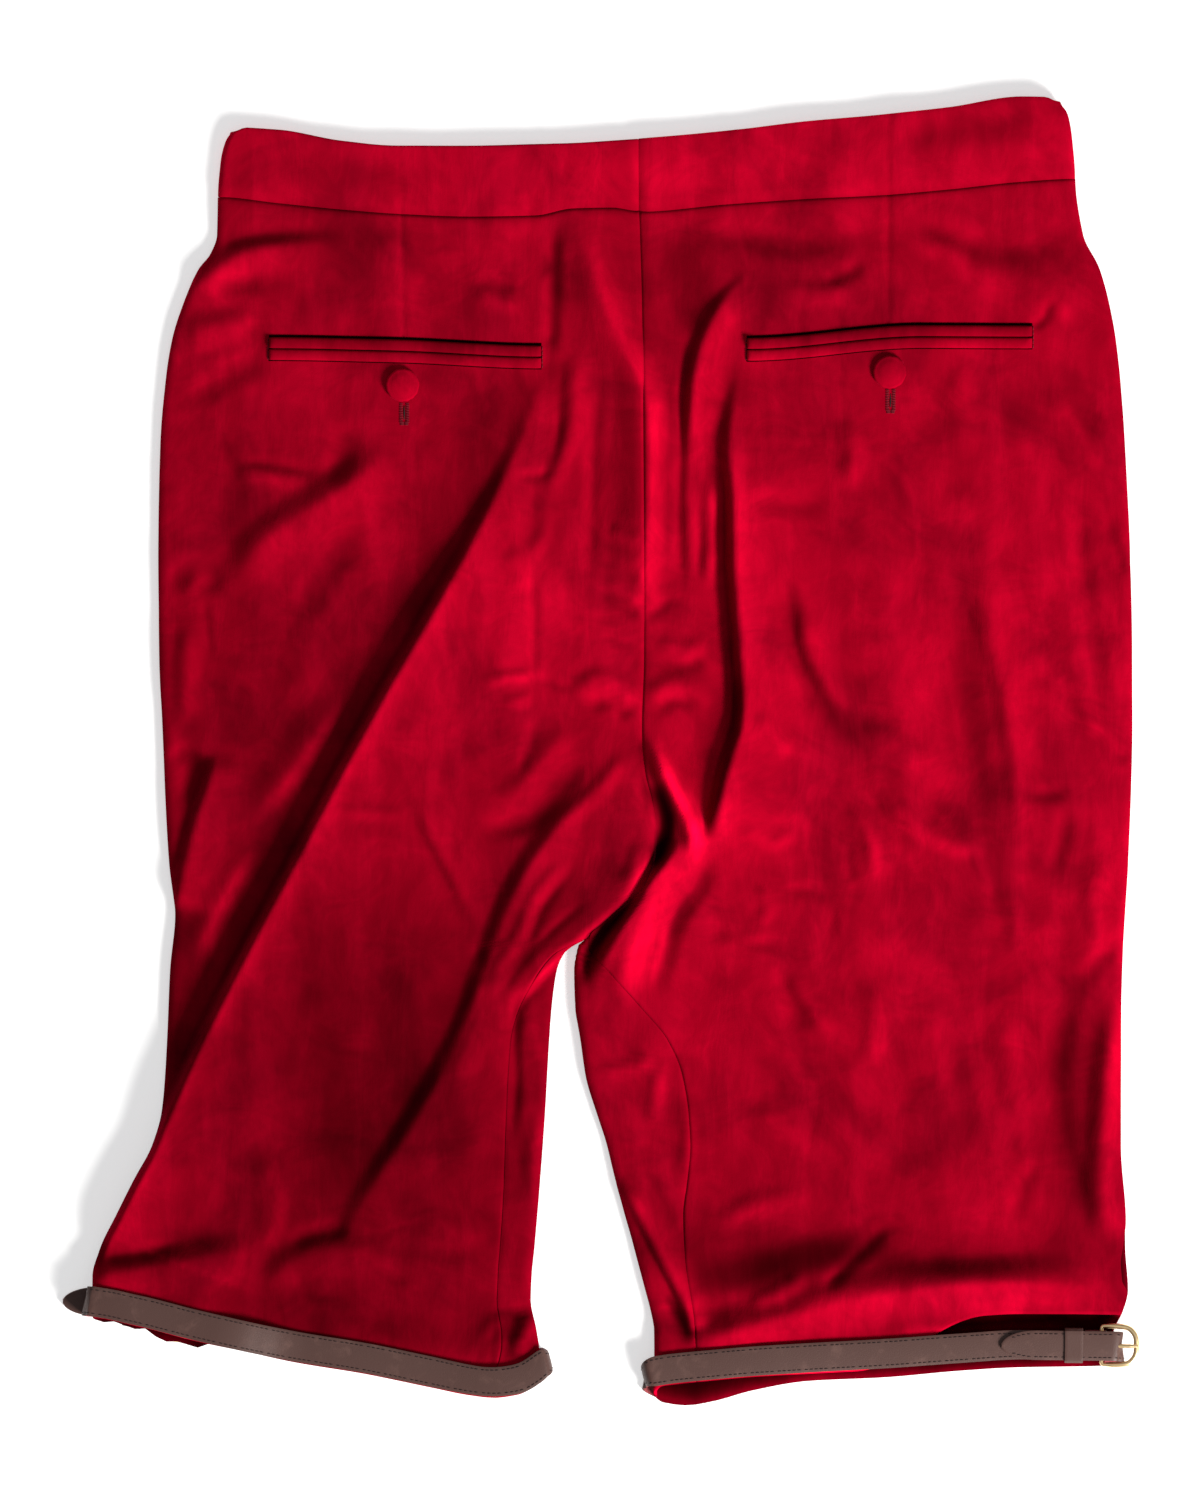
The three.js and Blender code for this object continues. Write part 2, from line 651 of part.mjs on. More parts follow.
// Height of the top of a back panel as built.
const down = new THREE.Vector3(0, 0, -1);
const ray = new THREE.Raycaster();
const backs = [made.back_left, made.back_right];
function topOf(x, y) {
  ray.set(new THREE.Vector3(x, y, 100), down);
  const hits = ray.intersectObjects(backs, false);
  return hits.length ? hits[0].point.z : upper(x, y) + half;
}
function topAround(x, y, reachX, reachY) {
  let best = -Infinity;
  for (const i of [-1, -0.5, 0, 0.5, 1]) {
    for (const j of [-1, -0.5, 0, 0.5, 1]) best = Math.max(best, topOf(x + i * reachX, y + j * reachY));
  }
  return best;
}

// Pocket welts lie on the back panels, a covered button below each mouth.
for (const side of ["left", "right"]) {
  const { mouth, button } = pockets[side];
  const mouthY = through(mouth, "x", "y");
  const from = mouth[0].x;
  const to = mouth[mouth.length - 1].x;
  for (const [name, way] of [["upper", 1], ["lower", -1]]) {
    const points = [];
    for (const v of way > 0 ? [0, 1] : [1, 0]) {
      const row = [];
      for (let i = 0; i <= 18; i++) {
        const x = mix(from, to, i / 18);
        const y = mouthY(x) + way * (seam / 2 + 0.1 + v * weltWidth);
        row.push(new THREE.Vector3(x, y, topAround(x, y, 3, 1) + seam + weltThick / 2));
      }
      points.push(row);
    }
    add(`welt_${name}_${side}`, wall(points, weltThick), "velvet");
  }
  const [x, y] = button;
  const profile = [[0.45, 0], [0.72, 0], [0.97, 0.9], [1, 1.7], [0.93, 2.8], [0.7, 4.2], [0.38, 5]];
  const slopeX = (topOf(x + 5, y) - topOf(x - 5, y)) / 10;
  const slopeY = (topOf(x, y + 5) - topOf(x, y - 5)) / 10;
  const normal = new THREE.Vector3(-slopeX, -slopeY, 1).normalize();
  const turned = new THREE.Quaternion().setFromUnitVectors(new THREE.Vector3(0, 0, 1), normal);
  let lift = -Infinity;
  for (let i = 0; i < 16; i++) {
    const px = x + 6 * Math.cos((Math.PI * i) / 8);
    const py = y + 6 * Math.sin((Math.PI * i) / 8);
    lift = Math.max(lift, topOf(px, py) - slopeX * (px - x) - slopeY * (py - y));
  }
  const base = new THREE.Vector3(x, y, lift + seam + 0.1);
  const sides = 20;
  const rings = profile.map(([share, height]) => Array.from({ length: sides }, (_, i) => {
    const angle = (2 * Math.PI * i) / sides;
    const r = share * buttonRadius;
    const spot = new THREE.Vector3(r * Math.cos(angle), r * Math.sin(angle), height);
    return spot.applyQuaternion(turned).add(base);
  }));
  const apex = new THREE.Vector3(0, 0, buttonHeight).applyQuaternion(turned).add(base);
  add(`pocket_button_${side}`, swept(rings, false, apex), "velvet");
}

// Buckle parts, in the strap's own frame at the bar: x along the strap, out away from the leg.
function buckleParts(side) {
  const { barX, endX, fixedZ, endLift, out } = straps[side];
  const run = side === "left" ? strapY.left.front : strapY.right.back;
  const barZ = fixedZ - out * loopRound;
  const endZ = fixedZ + out * endLift;
  const zAt = (x) => mix(barZ, endZ, (x - barX) / (endX - barX));
  const tilt = (run(endX) - run(barX)) / (endX - barX);
  const yAt = (x) => run(barX) + tilt * (x - barX);
  const place = (x, across) => new THREE.Vector3(x - tilt * across, yAt(x) + across, zAt(x));
  const outlinePoints = [];
  const corner = 5.5;
  for (const across of [-0.6, 0, 0.6]) outlinePoints.push(place(barX, across * frameHalf));
  outlinePoints.push(place(barX + 0.5, frameHalf - 0.4));
  outlinePoints.push(place(barX + 3, frameHalf));
  outlinePoints.push(place(endX - corner - 1.5, frameHalf));
  for (const angle of [25, 50, 75]) {
    const a = THREE.MathUtils.degToRad(angle);
    const across = frameHalf - corner + corner * Math.cos(a);
    outlinePoints.push(place(endX - corner + corner * Math.sin(a), across));
  }
  outlinePoints.push(place(endX, 0));
  for (const angle of [75, 50, 25]) {
    const a = THREE.MathUtils.degToRad(angle);
    const across = -frameHalf + corner - corner * Math.cos(a);
    outlinePoints.push(place(endX - corner + corner * Math.sin(a), across));
  }
  outlinePoints.push(place(endX - corner - 1.5, -frameHalf));
  outlinePoints.push(place(barX + 3, -frameHalf));
  outlinePoints.push(place(barX + 0.5, -frameHalf + 0.4));
  const frameLine = new THREE.CatmullRomCurve3(outlinePoints, true, "centripetal");
  const frame = rod(frameLine, 36, wire, true);
  const ring = wire + seam + prongRadius;
  const prongPoints = [];
  for (const angle of [-120, -165, -210, -250]) {
    const a = THREE.MathUtils.degToRad(angle);
    const height = barZ + out * ring * Math.sin(a);
    prongPoints.push(new THREE.Vector3(barX + ring * Math.cos(a), yAt(barX), height));
  }
  const restZ = endZ + out * (wire + seam + prongRadius);
  prongPoints.push(new THREE.Vector3(barX + 2, yAt(barX + 2), mix(barZ + out * ring, restZ, 0.16)));
  const bendX = mix(barX, endX, 0.6);
  prongPoints.push(new THREE.Vector3(bendX, yAt(bendX), mix(barZ + out * ring, restZ, 0.66)));
  prongPoints.push(new THREE.Vector3(endX + 0.6, yAt(endX + 0.6), restZ));
  const prongLine = new THREE.CatmullRomCurve3(prongPoints, false, "centripetal");
  const prong = rod(prongLine, 16, prongRadius, false);
  return { frame, prong, cutter: rod(prongLine, 16, prongRadius + 1.2 * seam, false) };
}

// One solid less another.
function cut(geometry, tool) {
  const solid = (shape) => new wasm.Manifold(new wasm.Mesh({
    numProp: 3,
    vertProperties: new Float32Array(shape.attributes.position.array),
    triVerts: new Uint32Array(shape.index.array),
  }));
  const mesh = solid(geometry).subtract(solid(tool)).getMesh();
  return facingOut([...mesh.vertProperties], [...mesh.triVerts]);
}

// Knee straps: one ribbon each, from the fold behind the buckle bar, round the leg, through the buckle.
function strapPath(side) {
  const { outerX, innerX, barX, endX, fixedZ, tipX, out, returnRun } = straps[side];
  const way = outwards[side];
  const back = strapY[side].back;
  const front = strapY[side].front;
  const path = [];
  const put = (x, z, turned) => path.push({ x, z, y: mix(front(x), back(x), turned) });
  const first = out > 0 ? 1 : 0;
  const layer = (x) => (out > 0 ? topRun(x) : fixedZ);
  const step = 8;
  const raw = (x) => topAround(x, back(x), 5, 8.2) + seam + 0.1 + leather / 2;
  const count = Math.ceil((Math.abs(outerX - innerX) + 40) / step);
  const firstX = Math.min(outerX, innerX) - 20;
  const heights = Array.from({ length: count }, (_, i) => raw(firstX + i * step));
  const wide = heights.map((_, i) => Math.max(...heights.slice(Math.max(0, i - 1), i + 2)));
  const even = wide.map((z, i) => {
    const around = (wide[i - 1] ?? z) + (wide[i + 1] ?? z);
    return { x: firstX + i * step, z: (around + 2 * z) / 4 };
  });
  const overVelvet = through(even, "x", "z");
  const topRun = (x) => (out > 0 ? mix(overVelvet(x), fixedZ, smooth(204, 226, x)) : overVelvet(x));
  // round the buckle bar
  const returnZ = fixedZ - out * 2 * loopRound;
  for (const share of [0, 0.5]) put(barX - returnRun * (1 - share), returnZ, first);
  for (let i = 0; i <= 6; i++) {
    const angle = -Math.PI / 2 + (Math.PI * i) / 6;
    const height = fixedZ - out * loopRound * (1 - Math.sin(angle));
    put(barX + loopRound * Math.cos(angle), height, first);
  }
  // a run along one layer
  const along = (from, to, pieces, z, turned) => {
    for (let i = 1; i <= pieces; i++) {
      const x = mix(from, to, i / pieces);
      put(x, z(x), turned);
    }
  };
  // a fold round the side of the leg: tall half ellipse between two layers
  const foldRound = (edgeX, outward, fromZ, toZ, deep, from, to) => {
    const steps = 8;
    for (let i = 1; i <= steps; i++) {
      const angle = (Math.PI * i) / steps;
      const share = 0.5 - 0.5 * Math.cos(angle);
      const x = edgeX - outward * (leather / 2 + deep * (1 - Math.sin(angle)));
      put(x, mix(fromZ, toZ, share), mix(from, to, share));
    }
  };
  const deep = 3.4;
  const innerTurn = innerX + way * (leather / 2 + deep);
  const outerTurn = outerX - way * (leather / 2 + deep);
  const table = () => floorStrap;
  if (out > 0) {
    along(barX, innerTurn, 26, layer, 1);
    foldRound(innerX, -way, topRun(innerTurn), floorStrap, deep, 1, 0);
    along(innerTurn, outerTurn, 22, table, 0);
    foldRound(outerX, way, floorStrap, fixedZ + strapStep, deep, 0, 1);
    along(outerTurn, tipX, 12, () => fixedZ + strapStep, 1);
  } else {
    along(barX, outerTurn, 5, layer, 0);
    foldRound(outerX, way, fixedZ, topRun(outerTurn), deep, 0, 1);
    along(outerTurn, innerTurn, 24, topRun, 1);
    foldRound(innerX, -way, topRun(innerTurn), floorStrap, deep, 1, 0);
    along(innerTurn, -176, 14, table, 0);
    const overEnd = fixedZ - straps.left.endLift + wire + seam + leather / 2 + 0.15;
    for (const [x, z] of [[-183, 1.5], [-189, 3.2], [-195, overEnd - 0.4], [endX, overEnd]]) put(x, z, 0);
    const ramp = [[-203.5, overEnd], [-206.5, overEnd - 0.6], [-210, 3.5], [-213, 2.4]];
    for (const [x, z] of ramp) put(x, z, 0);
    along(-214, tipX, 9, () => fixedZ - strapStep, 0);
  }
  return path;
}

for (const side of ["left", "right"]) {
  const parts = buckleParts(side);
  const path = strapPath(side);
  const { tipX, keeperX, fixedZ, out } = straps[side];
  const lean = (i) => {
    const a = path[Math.max(0, i - 3)];
    const b = path[Math.min(path.length - 1, i + 3)];
    const dx = b.x - a.x;
    return Math.abs(dx) < 6 ? null : THREE.MathUtils.clamp((b.y - a.y) / dx, -0.25, 0.25);
  };
  let last = lean(6) ?? 0;
  const leans = path.map((_, i) => (last = lean(i) ?? last));
  const points = [-1, 1].map((v) => path.map(({ x, y, z }, i) => {
    const end = i === path.length - 1 ? 0.25 : 1;
    const near = i > path.length - 6 ? THREE.MathUtils.clamp(Math.abs(x - tipX) / 9, 0, 1) : 1;
    const across = v * (strapWidth / 2) * Math.min(end, mix(0.25, 1, near));
    return new THREE.Vector3(x - leans[i] * across, y + across, z);
  }));
  add(`strap_${side}`, cut(wall(points, leather), parts.cutter), "leather");
  add(`buckle_${side}`, parts.frame, "brass");
  add(`prong_${side}`, parts.prong, "brass");

  const inner = strapWidth / 2 + seam + 0.1;
  const lowN = -(leather / 2 + seam);
  const highN = strapStep + leather / 2 + seam;
  const run = out > 0 ? strapY[side].back : strapY[side].front;
  const tilt = (run(keeperX + 6) - run(keeperX - 6)) / 12;
  const place = (s, across, n) =>
    new THREE.Vector3(keeperX + s - tilt * across, run(keeperX) + tilt * s + across, fixedZ + out * n);
  const rings = [[-1, lowN, -1], [1, lowN, -1], [1, highN, 1], [-1, highN, 1]].map(([way, n, wayN]) =>
    [[-1, 0], [1, 0], [1, 1], [-1, 1]].map(([end, thick]) => place((end * keeperLength) / 2,
      way * (inner + thick * keeperWall), n + wayN * thick * keeperWall)));
  add(`keeper_${side}`, swept(rings, true), "leather");
}

export default group;
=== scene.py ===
# Velvet knee shorts with buckled leather knee straps, laid flat with the back side up.
# Tables and sizes are in millimetres, as on a cutter's sheet; meshes are made in metres.
import json
import math

import bmesh
import bpy
import numpy as np
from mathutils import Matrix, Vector

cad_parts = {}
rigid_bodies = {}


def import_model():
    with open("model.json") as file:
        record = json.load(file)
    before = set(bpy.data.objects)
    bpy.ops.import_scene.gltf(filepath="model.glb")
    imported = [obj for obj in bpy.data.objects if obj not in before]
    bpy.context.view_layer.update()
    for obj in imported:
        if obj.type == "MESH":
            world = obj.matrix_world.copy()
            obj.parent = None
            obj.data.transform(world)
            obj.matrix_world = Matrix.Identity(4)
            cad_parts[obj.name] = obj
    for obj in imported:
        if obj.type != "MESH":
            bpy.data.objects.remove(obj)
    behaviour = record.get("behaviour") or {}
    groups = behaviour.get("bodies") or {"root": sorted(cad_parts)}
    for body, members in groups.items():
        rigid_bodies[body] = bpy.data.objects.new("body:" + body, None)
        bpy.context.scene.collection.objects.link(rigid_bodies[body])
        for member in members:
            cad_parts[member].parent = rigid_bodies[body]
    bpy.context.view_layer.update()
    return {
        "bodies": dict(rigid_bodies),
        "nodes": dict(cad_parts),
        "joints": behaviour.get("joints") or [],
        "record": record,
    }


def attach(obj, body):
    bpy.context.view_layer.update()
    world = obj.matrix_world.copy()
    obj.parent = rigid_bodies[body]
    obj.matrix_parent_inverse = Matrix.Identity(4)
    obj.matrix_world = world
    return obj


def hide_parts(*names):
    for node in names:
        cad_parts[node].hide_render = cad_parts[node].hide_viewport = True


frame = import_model()
mm = 0.001
print("shorts: frame loaded")

# Camera, light, floor

stageSettings = {
    "cameraHeight": 3000,
    "viewHeight": 750,
    "lights": [  # name, place, power, size, colour
        ("keyLight", (1.45, -1.4, 1.3), 104, 0.75, (1, 0.98, 0.95)),
        ("fillLight", (-1.3, 1.2, 1.5), 3, 1.6, (0.9, 0.95, 1)),
        ("topLight", (0, 0, 2.2), 5, 2.0, (1, 1, 1)),
    ],
    "floorColour": (0.86, 0.86, 0.86),
    "floorSize": 60,
    "floorDrop": 0.0006,  # clear of the cloth that lies on it
    "floorGlow": 0.5,  # a light table under white paper
    "worldColour": (0.95, 0.96, 1.0),
    "worldStrength": 0.16,
}


def setInputs(node, values):
    for label, value in values.items():
        node.inputs[label].default_value = value


def newObject(name, bm, *materials):
    mesh = bpy.data.meshes.new(name)
    bm.to_mesh(mesh)
    bm.free()
    for material in materials:
        mesh.materials.append(material)
    obj = bpy.data.objects.new(name, mesh)
    bpy.context.scene.collection.objects.link(obj)
    return obj


# A soft light that faces the middle of the floor.
def areaLight(name, place, power, size, colour):
    data = bpy.data.lights.new(name, "AREA")
    data.energy = power
    data.size = size
    data.color = colour
    light = bpy.data.objects.new(name, data)
    light.location = place
    light.rotation_euler = (-light.location).to_track_quat("-Z", "Y").to_euler()
    bpy.context.scene.collection.objects.link(light)


def setStage(s):
    scene = bpy.context.scene
    scene.view_settings.view_transform = "Standard"
    scene.view_settings.look = "None"
    cameraData = bpy.data.cameras.new("camera")
    camera = bpy.data.objects.new("camera", cameraData)
    camera.location = (0, 0, s["cameraHeight"] * mm)
    cameraData.lens = cameraData.sensor_width * s["cameraHeight"] / s["viewHeight"]
    scene.collection.objects.link(camera)
    scene.camera = camera
    for light in s["lights"]:
        areaLight(*light)
    world = bpy.data.worlds.new("studio")
    world.use_nodes = True
    setInputs(world.node_tree.nodes["Background"], {
        "Color": (*s["worldColour"], 1), "Strength": s["worldStrength"]})
    scene.world = world
    paper = bpy.data.materials.new("whitePaper")
    paper.use_nodes = True
    setInputs(paper.node_tree.nodes["Principled BSDF"], {
        "Base Color": (*s["floorColour"], 1), "Roughness": 0.9,
        "Emission Color": (1, 1, 1, 1), "Emission Strength": s["floorGlow"]})
    bm = bmesh.new()
    bmesh.ops.create_grid(bm, x_segments=1, y_segments=1, size=s["floorSize"])
    bmesh.ops.translate(bm, verts=bm.verts, vec=(0, 0, -s["floorDrop"]))
    floor = newObject("floor", bm, paper)


setStage(stageSettings)
print("shorts: camera, lights and floor")

# Shader groups that several materials share


# A group that turns a place into one mask for each name.
def newGroup(name, masks):
    group = bpy.data.node_groups.new(name, "ShaderNodeTree")
    group.interface.new_socket("Vector", in_out="INPUT", socket_type="NodeSocketVector")
    for mask in masks:
        group.interface.new_socket(mask, in_out="OUTPUT", socket_type="NodeSocketFloat")
    start = group.nodes.new("NodeGroupInput")
    end = group.nodes.new("NodeGroupOutput")
    return group, start.outputs["Vector"], end


def noiseNode(tree, vector, scale, detail=3.0, roughness=0.55, distortion=0.0):
    node = tree.nodes.new("ShaderNodeTexNoise")
    setInputs(node, {"Scale": scale, "Detail": detail, "Roughness": roughness, "Distortion": distortion})
    tree.links.new(vector, node.inputs["Vector"])
    return node.outputs["Fac"]


def mathNode(tree, kind, a, b):
    node = tree.nodes.new("ShaderNodeMath")
    node.operation = kind
    for socket, value in zip(node.inputs, (a, b)):
        if isinstance(value, (int, float)):
            socket.default_value = value
        else:
            tree.links.new(value, socket)
    return node.outputs[0]


def rampNode(tree, value, low, high, toLow=0.0, toHigh=1.0):
    node = tree.nodes.new("ShaderNodeMapRange")
    node.interpolation_type = "SMOOTHSTEP"
    setInputs(node, {"From Min": low, "From Max": high, "To Min": toLow, "To Max": toHigh})
    tree.links.new(value, node.inputs["Value"])
    return node.outputs["Result"]


def mixColour(tree, share, a, b):
    node = tree.nodes.new("ShaderNodeMix")
    node.data_type = "RGBA"
    for socket, value in ((node.inputs["Factor"], share), (node.inputs["A"], a), (node.inputs["B"], b)):
        if isinstance(value, (int, float)):
            socket.default_value = value
        elif isinstance(value, tuple):
            socket.default_value = (*value, 1)
        else:
            tree.links.new(value, socket)
    return node.outputs["Result"]


def bumpNode(tree, height, strength, distance, normal=None):
    node = tree.nodes.new("ShaderNodeBump")
    setInputs(node, {"Strength": strength, "Distance": distance})
    tree.links.new(height, node.inputs["Height"])
    if normal is not None:
        tree.links.new(normal, node.inputs["Normal"])
    return node.outputs["Normal"]


# Pile that is brushed this way and that. A noise for each mask (scale, detail, roughness, distortion),
# and the part of it that the mask spreads out.
napMasks = {
    "Smudge": ((14, 4.0, 0.62, 0.6), (0.42, 0.72)),
    "Streak": ((60, 4.0, 0.6, 0.3), (0.35, 0.7)),
    "Rub": ((38, 5.0, 0.66, 1.4), (0.3, 0.72)),
}


def makeNapGroup(masks):
    group, vector, end = newGroup("napMottle", (*masks, "Pile"))
    stretch = group.nodes.new("ShaderNodeMapping")
    setInputs(stretch, {"Scale": (1.0, 0.28, 1.0), "Rotation": (0, 0, 0.35)})
    group.links.new(vector, stretch.inputs["Vector"])
    for label, (noise, spread) in masks.items():
        place = stretch.outputs["Vector"] if label == "Streak" else vector
        group.links.new(rampNode(group, noiseNode(group, place, *noise), *spread), end.inputs[label])
    group.links.new(noiseNode(group, vector, 1500, 2.0, 0.6), end.inputs["Pile"])
    return group


# Fine pebbled grain with scattered scuffs.
def makeGrainGroup():
    group, vector, end = newGroup("leatherGrain", ("Grain", "Scuff"))
    cells = group.nodes.new("ShaderNodeTexVoronoi")
    setInputs(cells, {"Scale": 1700})
    group.links.new(vector, cells.inputs["Vector"])
    group.links.new(rampNode(group, cells.outputs["Distance"], 0.0, 0.6), end.inputs["Grain"])
    scuff = noiseNode(group, vector, 90, 5.0, 0.65, 0.4)
    group.links.new(rampNode(group, scuff, 0.5, 0.78), end.inputs["Scuff"])
    return group


napGroup = makeNapGroup(napMasks)
grainGroup = makeGrainGroup()


def newMaterial(name):
    material = bpy.data.materials.new(name)
    material.use_nodes = True
    tree = material.node_tree
    place = tree.nodes.new("ShaderNodeTexCoord").outputs["Object"]
    return material, tree, tree.nodes["Principled BSDF"], place


def placeGroup(tree, group, vector):
    node = tree.nodes.new("ShaderNodeGroup")
    node.node_tree = group
    tree.links.new(vector, node.inputs["Vector"])
    return node.outputs


def waveNode(tree, vector, scale, distortion=0.0):
    node = tree.nodes.new("ShaderNodeTexWave")
    setInputs(node, {"Scale": scale, "Distortion": distortion})
    tree.links.new(vector, node.inputs["Vector"])
    return node


velvetLook = {
    "colour": (0.41, 0.0004, 0.0145),
    "deepColour": (0.3, 0.0004, 0.012),
    "brushedColour": (0.46, 0.0008, 0.019),
    "roughness": 0.9,
    "sheen": 0.22,
    "sheenRoughness": 0.3,
    "sheenColour": (1.0, 0.02, 0.1),
    "mottle": {"Smudge": -0.25, "Streak": 0.34, "Rub": 0.36},  # in doublings of the colour
}


# Velvet is paler where the pile is brushed towards the light. The toning attribute says how much, in
# doublings of the colour,
# and carries painted light and shade too: paler on crests and on slopes that face the light, darker in
# hollows, beside folds and on slopes that face away.
def makeVelvet(s):
    material, tree, shader, vector = newMaterial("velvet")
    toning = placeGroup(tree, napGroup, vector)
    colour = mixColour(tree, toning["Smudge"], s["colour"], s["deepColour"])
    brushed = mathNode(tree, "MULTIPLY", toning["Streak"], 0.35)
    colour = mixColour(tree, brushed, colour, s["brushedColour"])
    # the toning attribute: painted light and shade together with the pile's tone
    laid = tree.nodes.new("ShaderNodeAttribute")
    laid.attribute_name = "toning"
    tone = laid.outputs["Fac"]
    for label, amount in s["mottle"].items():
        off = mathNode(tree, "SUBTRACT", toning[label], 0.5)
        tone = mathNode(tree, "ADD", tone, mathNode(tree, "MULTIPLY", off, amount))
    scaled = tree.nodes.new("ShaderNodeVectorMath")
    scaled.operation = "SCALE"
    tree.links.new(colour, scaled.inputs[0])
    tree.links.new(mathNode(tree, "POWER", 2.0, tone), scaled.inputs["Scale"])
    tree.links.new(scaled.outputs["Vector"], shader.inputs["Base Color"])
    setInputs(shader, {
        "Roughness": s["roughness"], "Sheen Weight": s["sheen"], "Sheen Roughness": s["sheenRoughness"],
        "Sheen Tint": (*s["sheenColour"], 1), "Specular IOR Level": 0.0})
    normal = bumpNode(tree, toning["Streak"], 0.2, 0.001)
    tree.links.new(bumpNode(tree, toning["Pile"], 0.3, 0.0002, normal), shader.inputs["Normal"])
    return material


leatherLook = {
    "colour": (0.072, 0.034, 0.028),
    "wornColour": (0.11, 0.054, 0.044),
    "roughness": 0.48,
    "wornRoughness": 0.6,
    "liningColour": (0.36, 0.05, 0.06),
    "liningShade": (0.05, 0.004, 0.008),
    "edgeColour": (0.24, 0.03, 0.036),
    "threadColour": (0.035, 0.02, 0.02),
}


def makeLeather(s):
    material, tree, shader, vector = newMaterial("strapLeather")
    grain = placeGroup(tree, grainGroup, vector)
    colour = mixColour(tree, grain["Scuff"], s["colour"], s["wornColour"])
    roughness = rampNode(tree, grain["Scuff"], 0, 1, s["roughness"], s["wornRoughness"])
    tree.links.new(colour, shader.inputs["Base Color"])
    tree.links.new(roughness, shader.inputs["Roughness"])
    setInputs(shader, {"Specular IOR Level": 0.3})
    tree.links.new(bumpNode(tree, grain["Grain"], 0.25, 0.00015), shader.inputs["Normal"])
    return material


# Ribbed lining: the troughs between the ribs are painted darker as shade (grooveShade, from liningShade),
# with a bump.
def makeLining(s):
    material, tree, shader, vector = newMaterial("strapLining")
    ribs = waveNode(tree, vector, 420, 1.2).outputs["Fac"]
    grooveShade = mixColour(tree, 0.45, s["liningColour"], s["liningShade"])
    tree.links.new(mixColour(tree, ribs, s["liningColour"], grooveShade), shader.inputs["Base Color"])
    setInputs(shader, {"Roughness": 0.9, "Sheen Weight": 0.4})
    tree.links.new(bumpNode(tree, ribs, 0.4, 0.0003), shader.inputs["Normal"])
    return material


def makeEdgePaint(s):
    material, tree, shader, vector = newMaterial("strapEdge")
    colour = mixColour(tree, noiseNode(tree, vector, 400), s["edgeColour"], s["colour"])
    tree.links.new(colour, shader.inputs["Base Color"])
    setInputs(shader, {"Roughness": 0.5})
    return material


brassLook = {"colour": (1.0, 0.74, 0.4), "dull": (0.8, 0.55, 0.27), "roughness": 0.3, "dullRoughness": 0.42}


def makeBrass(s):
    material, tree, shader, vector = newMaterial("buckleBrass")
    haze = noiseNode(tree, vector, 260, 4.0)
    colour = mixColour(tree, rampNode(tree, haze, 0.45, 0.75), s["colour"], s["dull"])
    roughness = rampNode(tree, haze, 0.4, 0.8, s["roughness"], s["dullRoughness"])
    tree.links.new(colour, shader.inputs["Base Color"])
    tree.links.new(roughness, shader.inputs["Roughness"])
    setInputs(shader, {"Metallic": 1.0})
    return material


# Twisted thread: the grooves of its twist are painted darker as shade (grooveShade), with a bump.
def makeThread(name, colour):
    material, tree, shader, vector = newMaterial(name)
    wave = waveNode(tree, vector, 900)
    wave.bands_direction = "DIAGONAL"
    twist = wave.outputs["Fac"]
    grooveShade = tuple(c * 0.45 for c in colour)
    tree.links.new(mixColour(tree, twist, grooveShade, colour), shader.inputs["Base Color"])
    setInputs(shader, {"Roughness": 0.6, "Specular IOR Level": 0.12})
    tree.links.new(bumpNode(tree, twist, 0.5, 0.0002), shader.inputs["Normal"])
    return material


velvet = makeVelvet(velvetLook)
leather = makeLeather(leatherLook)
lining = makeLining(leatherLook)
edgePaint = makeEdgePaint(leatherLook)
brass = makeBrass(brassLook)
darkThread = makeThread("strapThread", leatherLook["threadColour"])
redThread = makeThread("buttonholeThread", (0.24, 0.012, 0.026))
print("shorts: materials")

# Sizes that all the pieces share

body = {
    "cloth": 1.4,  # velvet wall
    "band": 2.2,  # interfaced waistband wall
    "leather": 1.4,
    "strapWidth": 14.5,
    "seam": 0.3,
    "layGap": 3.1,  # air between the front panel and the back panel
    "edgeRound": 4.5,  # how far in from the outline the folded edge rounds over
    "waist": 270,
    "hem": -302,
    "crotchTop": -92,
    "crotchRun": 26,
    "hemTurn": 8.2,
    "ventRise": 23.5,  # the right back panel stops higher at the vent
    "ventRun": (128, 192),
    "buckleRise": {"back": 6.6, "front": 7.2},  # over the buckle that lies beneath the left leg
    "buckleRun": ((-165, -198), (-236, -266)),  # where that starts and is full: across, down
    "strapNear": (36, 14),  # the lower layer rises onto its strap this far above the strap's middle
    "hemBend": 74,  # from here down, the rows of a leg bend to the line of its hem
    "waistBend": 60,
    "bandRise": 0.9,  # the back comes up to the thicker waistband
    "sewn": 0.04,  # from a centre seam to the edge of the wall on each side
    "inseamGaps": (0.3, 0.1, 0.08),  # where the strip beside it is narrow, where wide, near the crotch
    "offCentre": 0.8,  # the front's centre seam isn't right under the seat seam
}
halfCloth = body["cloth"] / 2
frontRest = halfCloth
backRest = body["cloth"] + body["layGap"] + halfCloth
strapStep = body["leather"] + body["seam"]
outwards = {"left": -1, "right": 1}

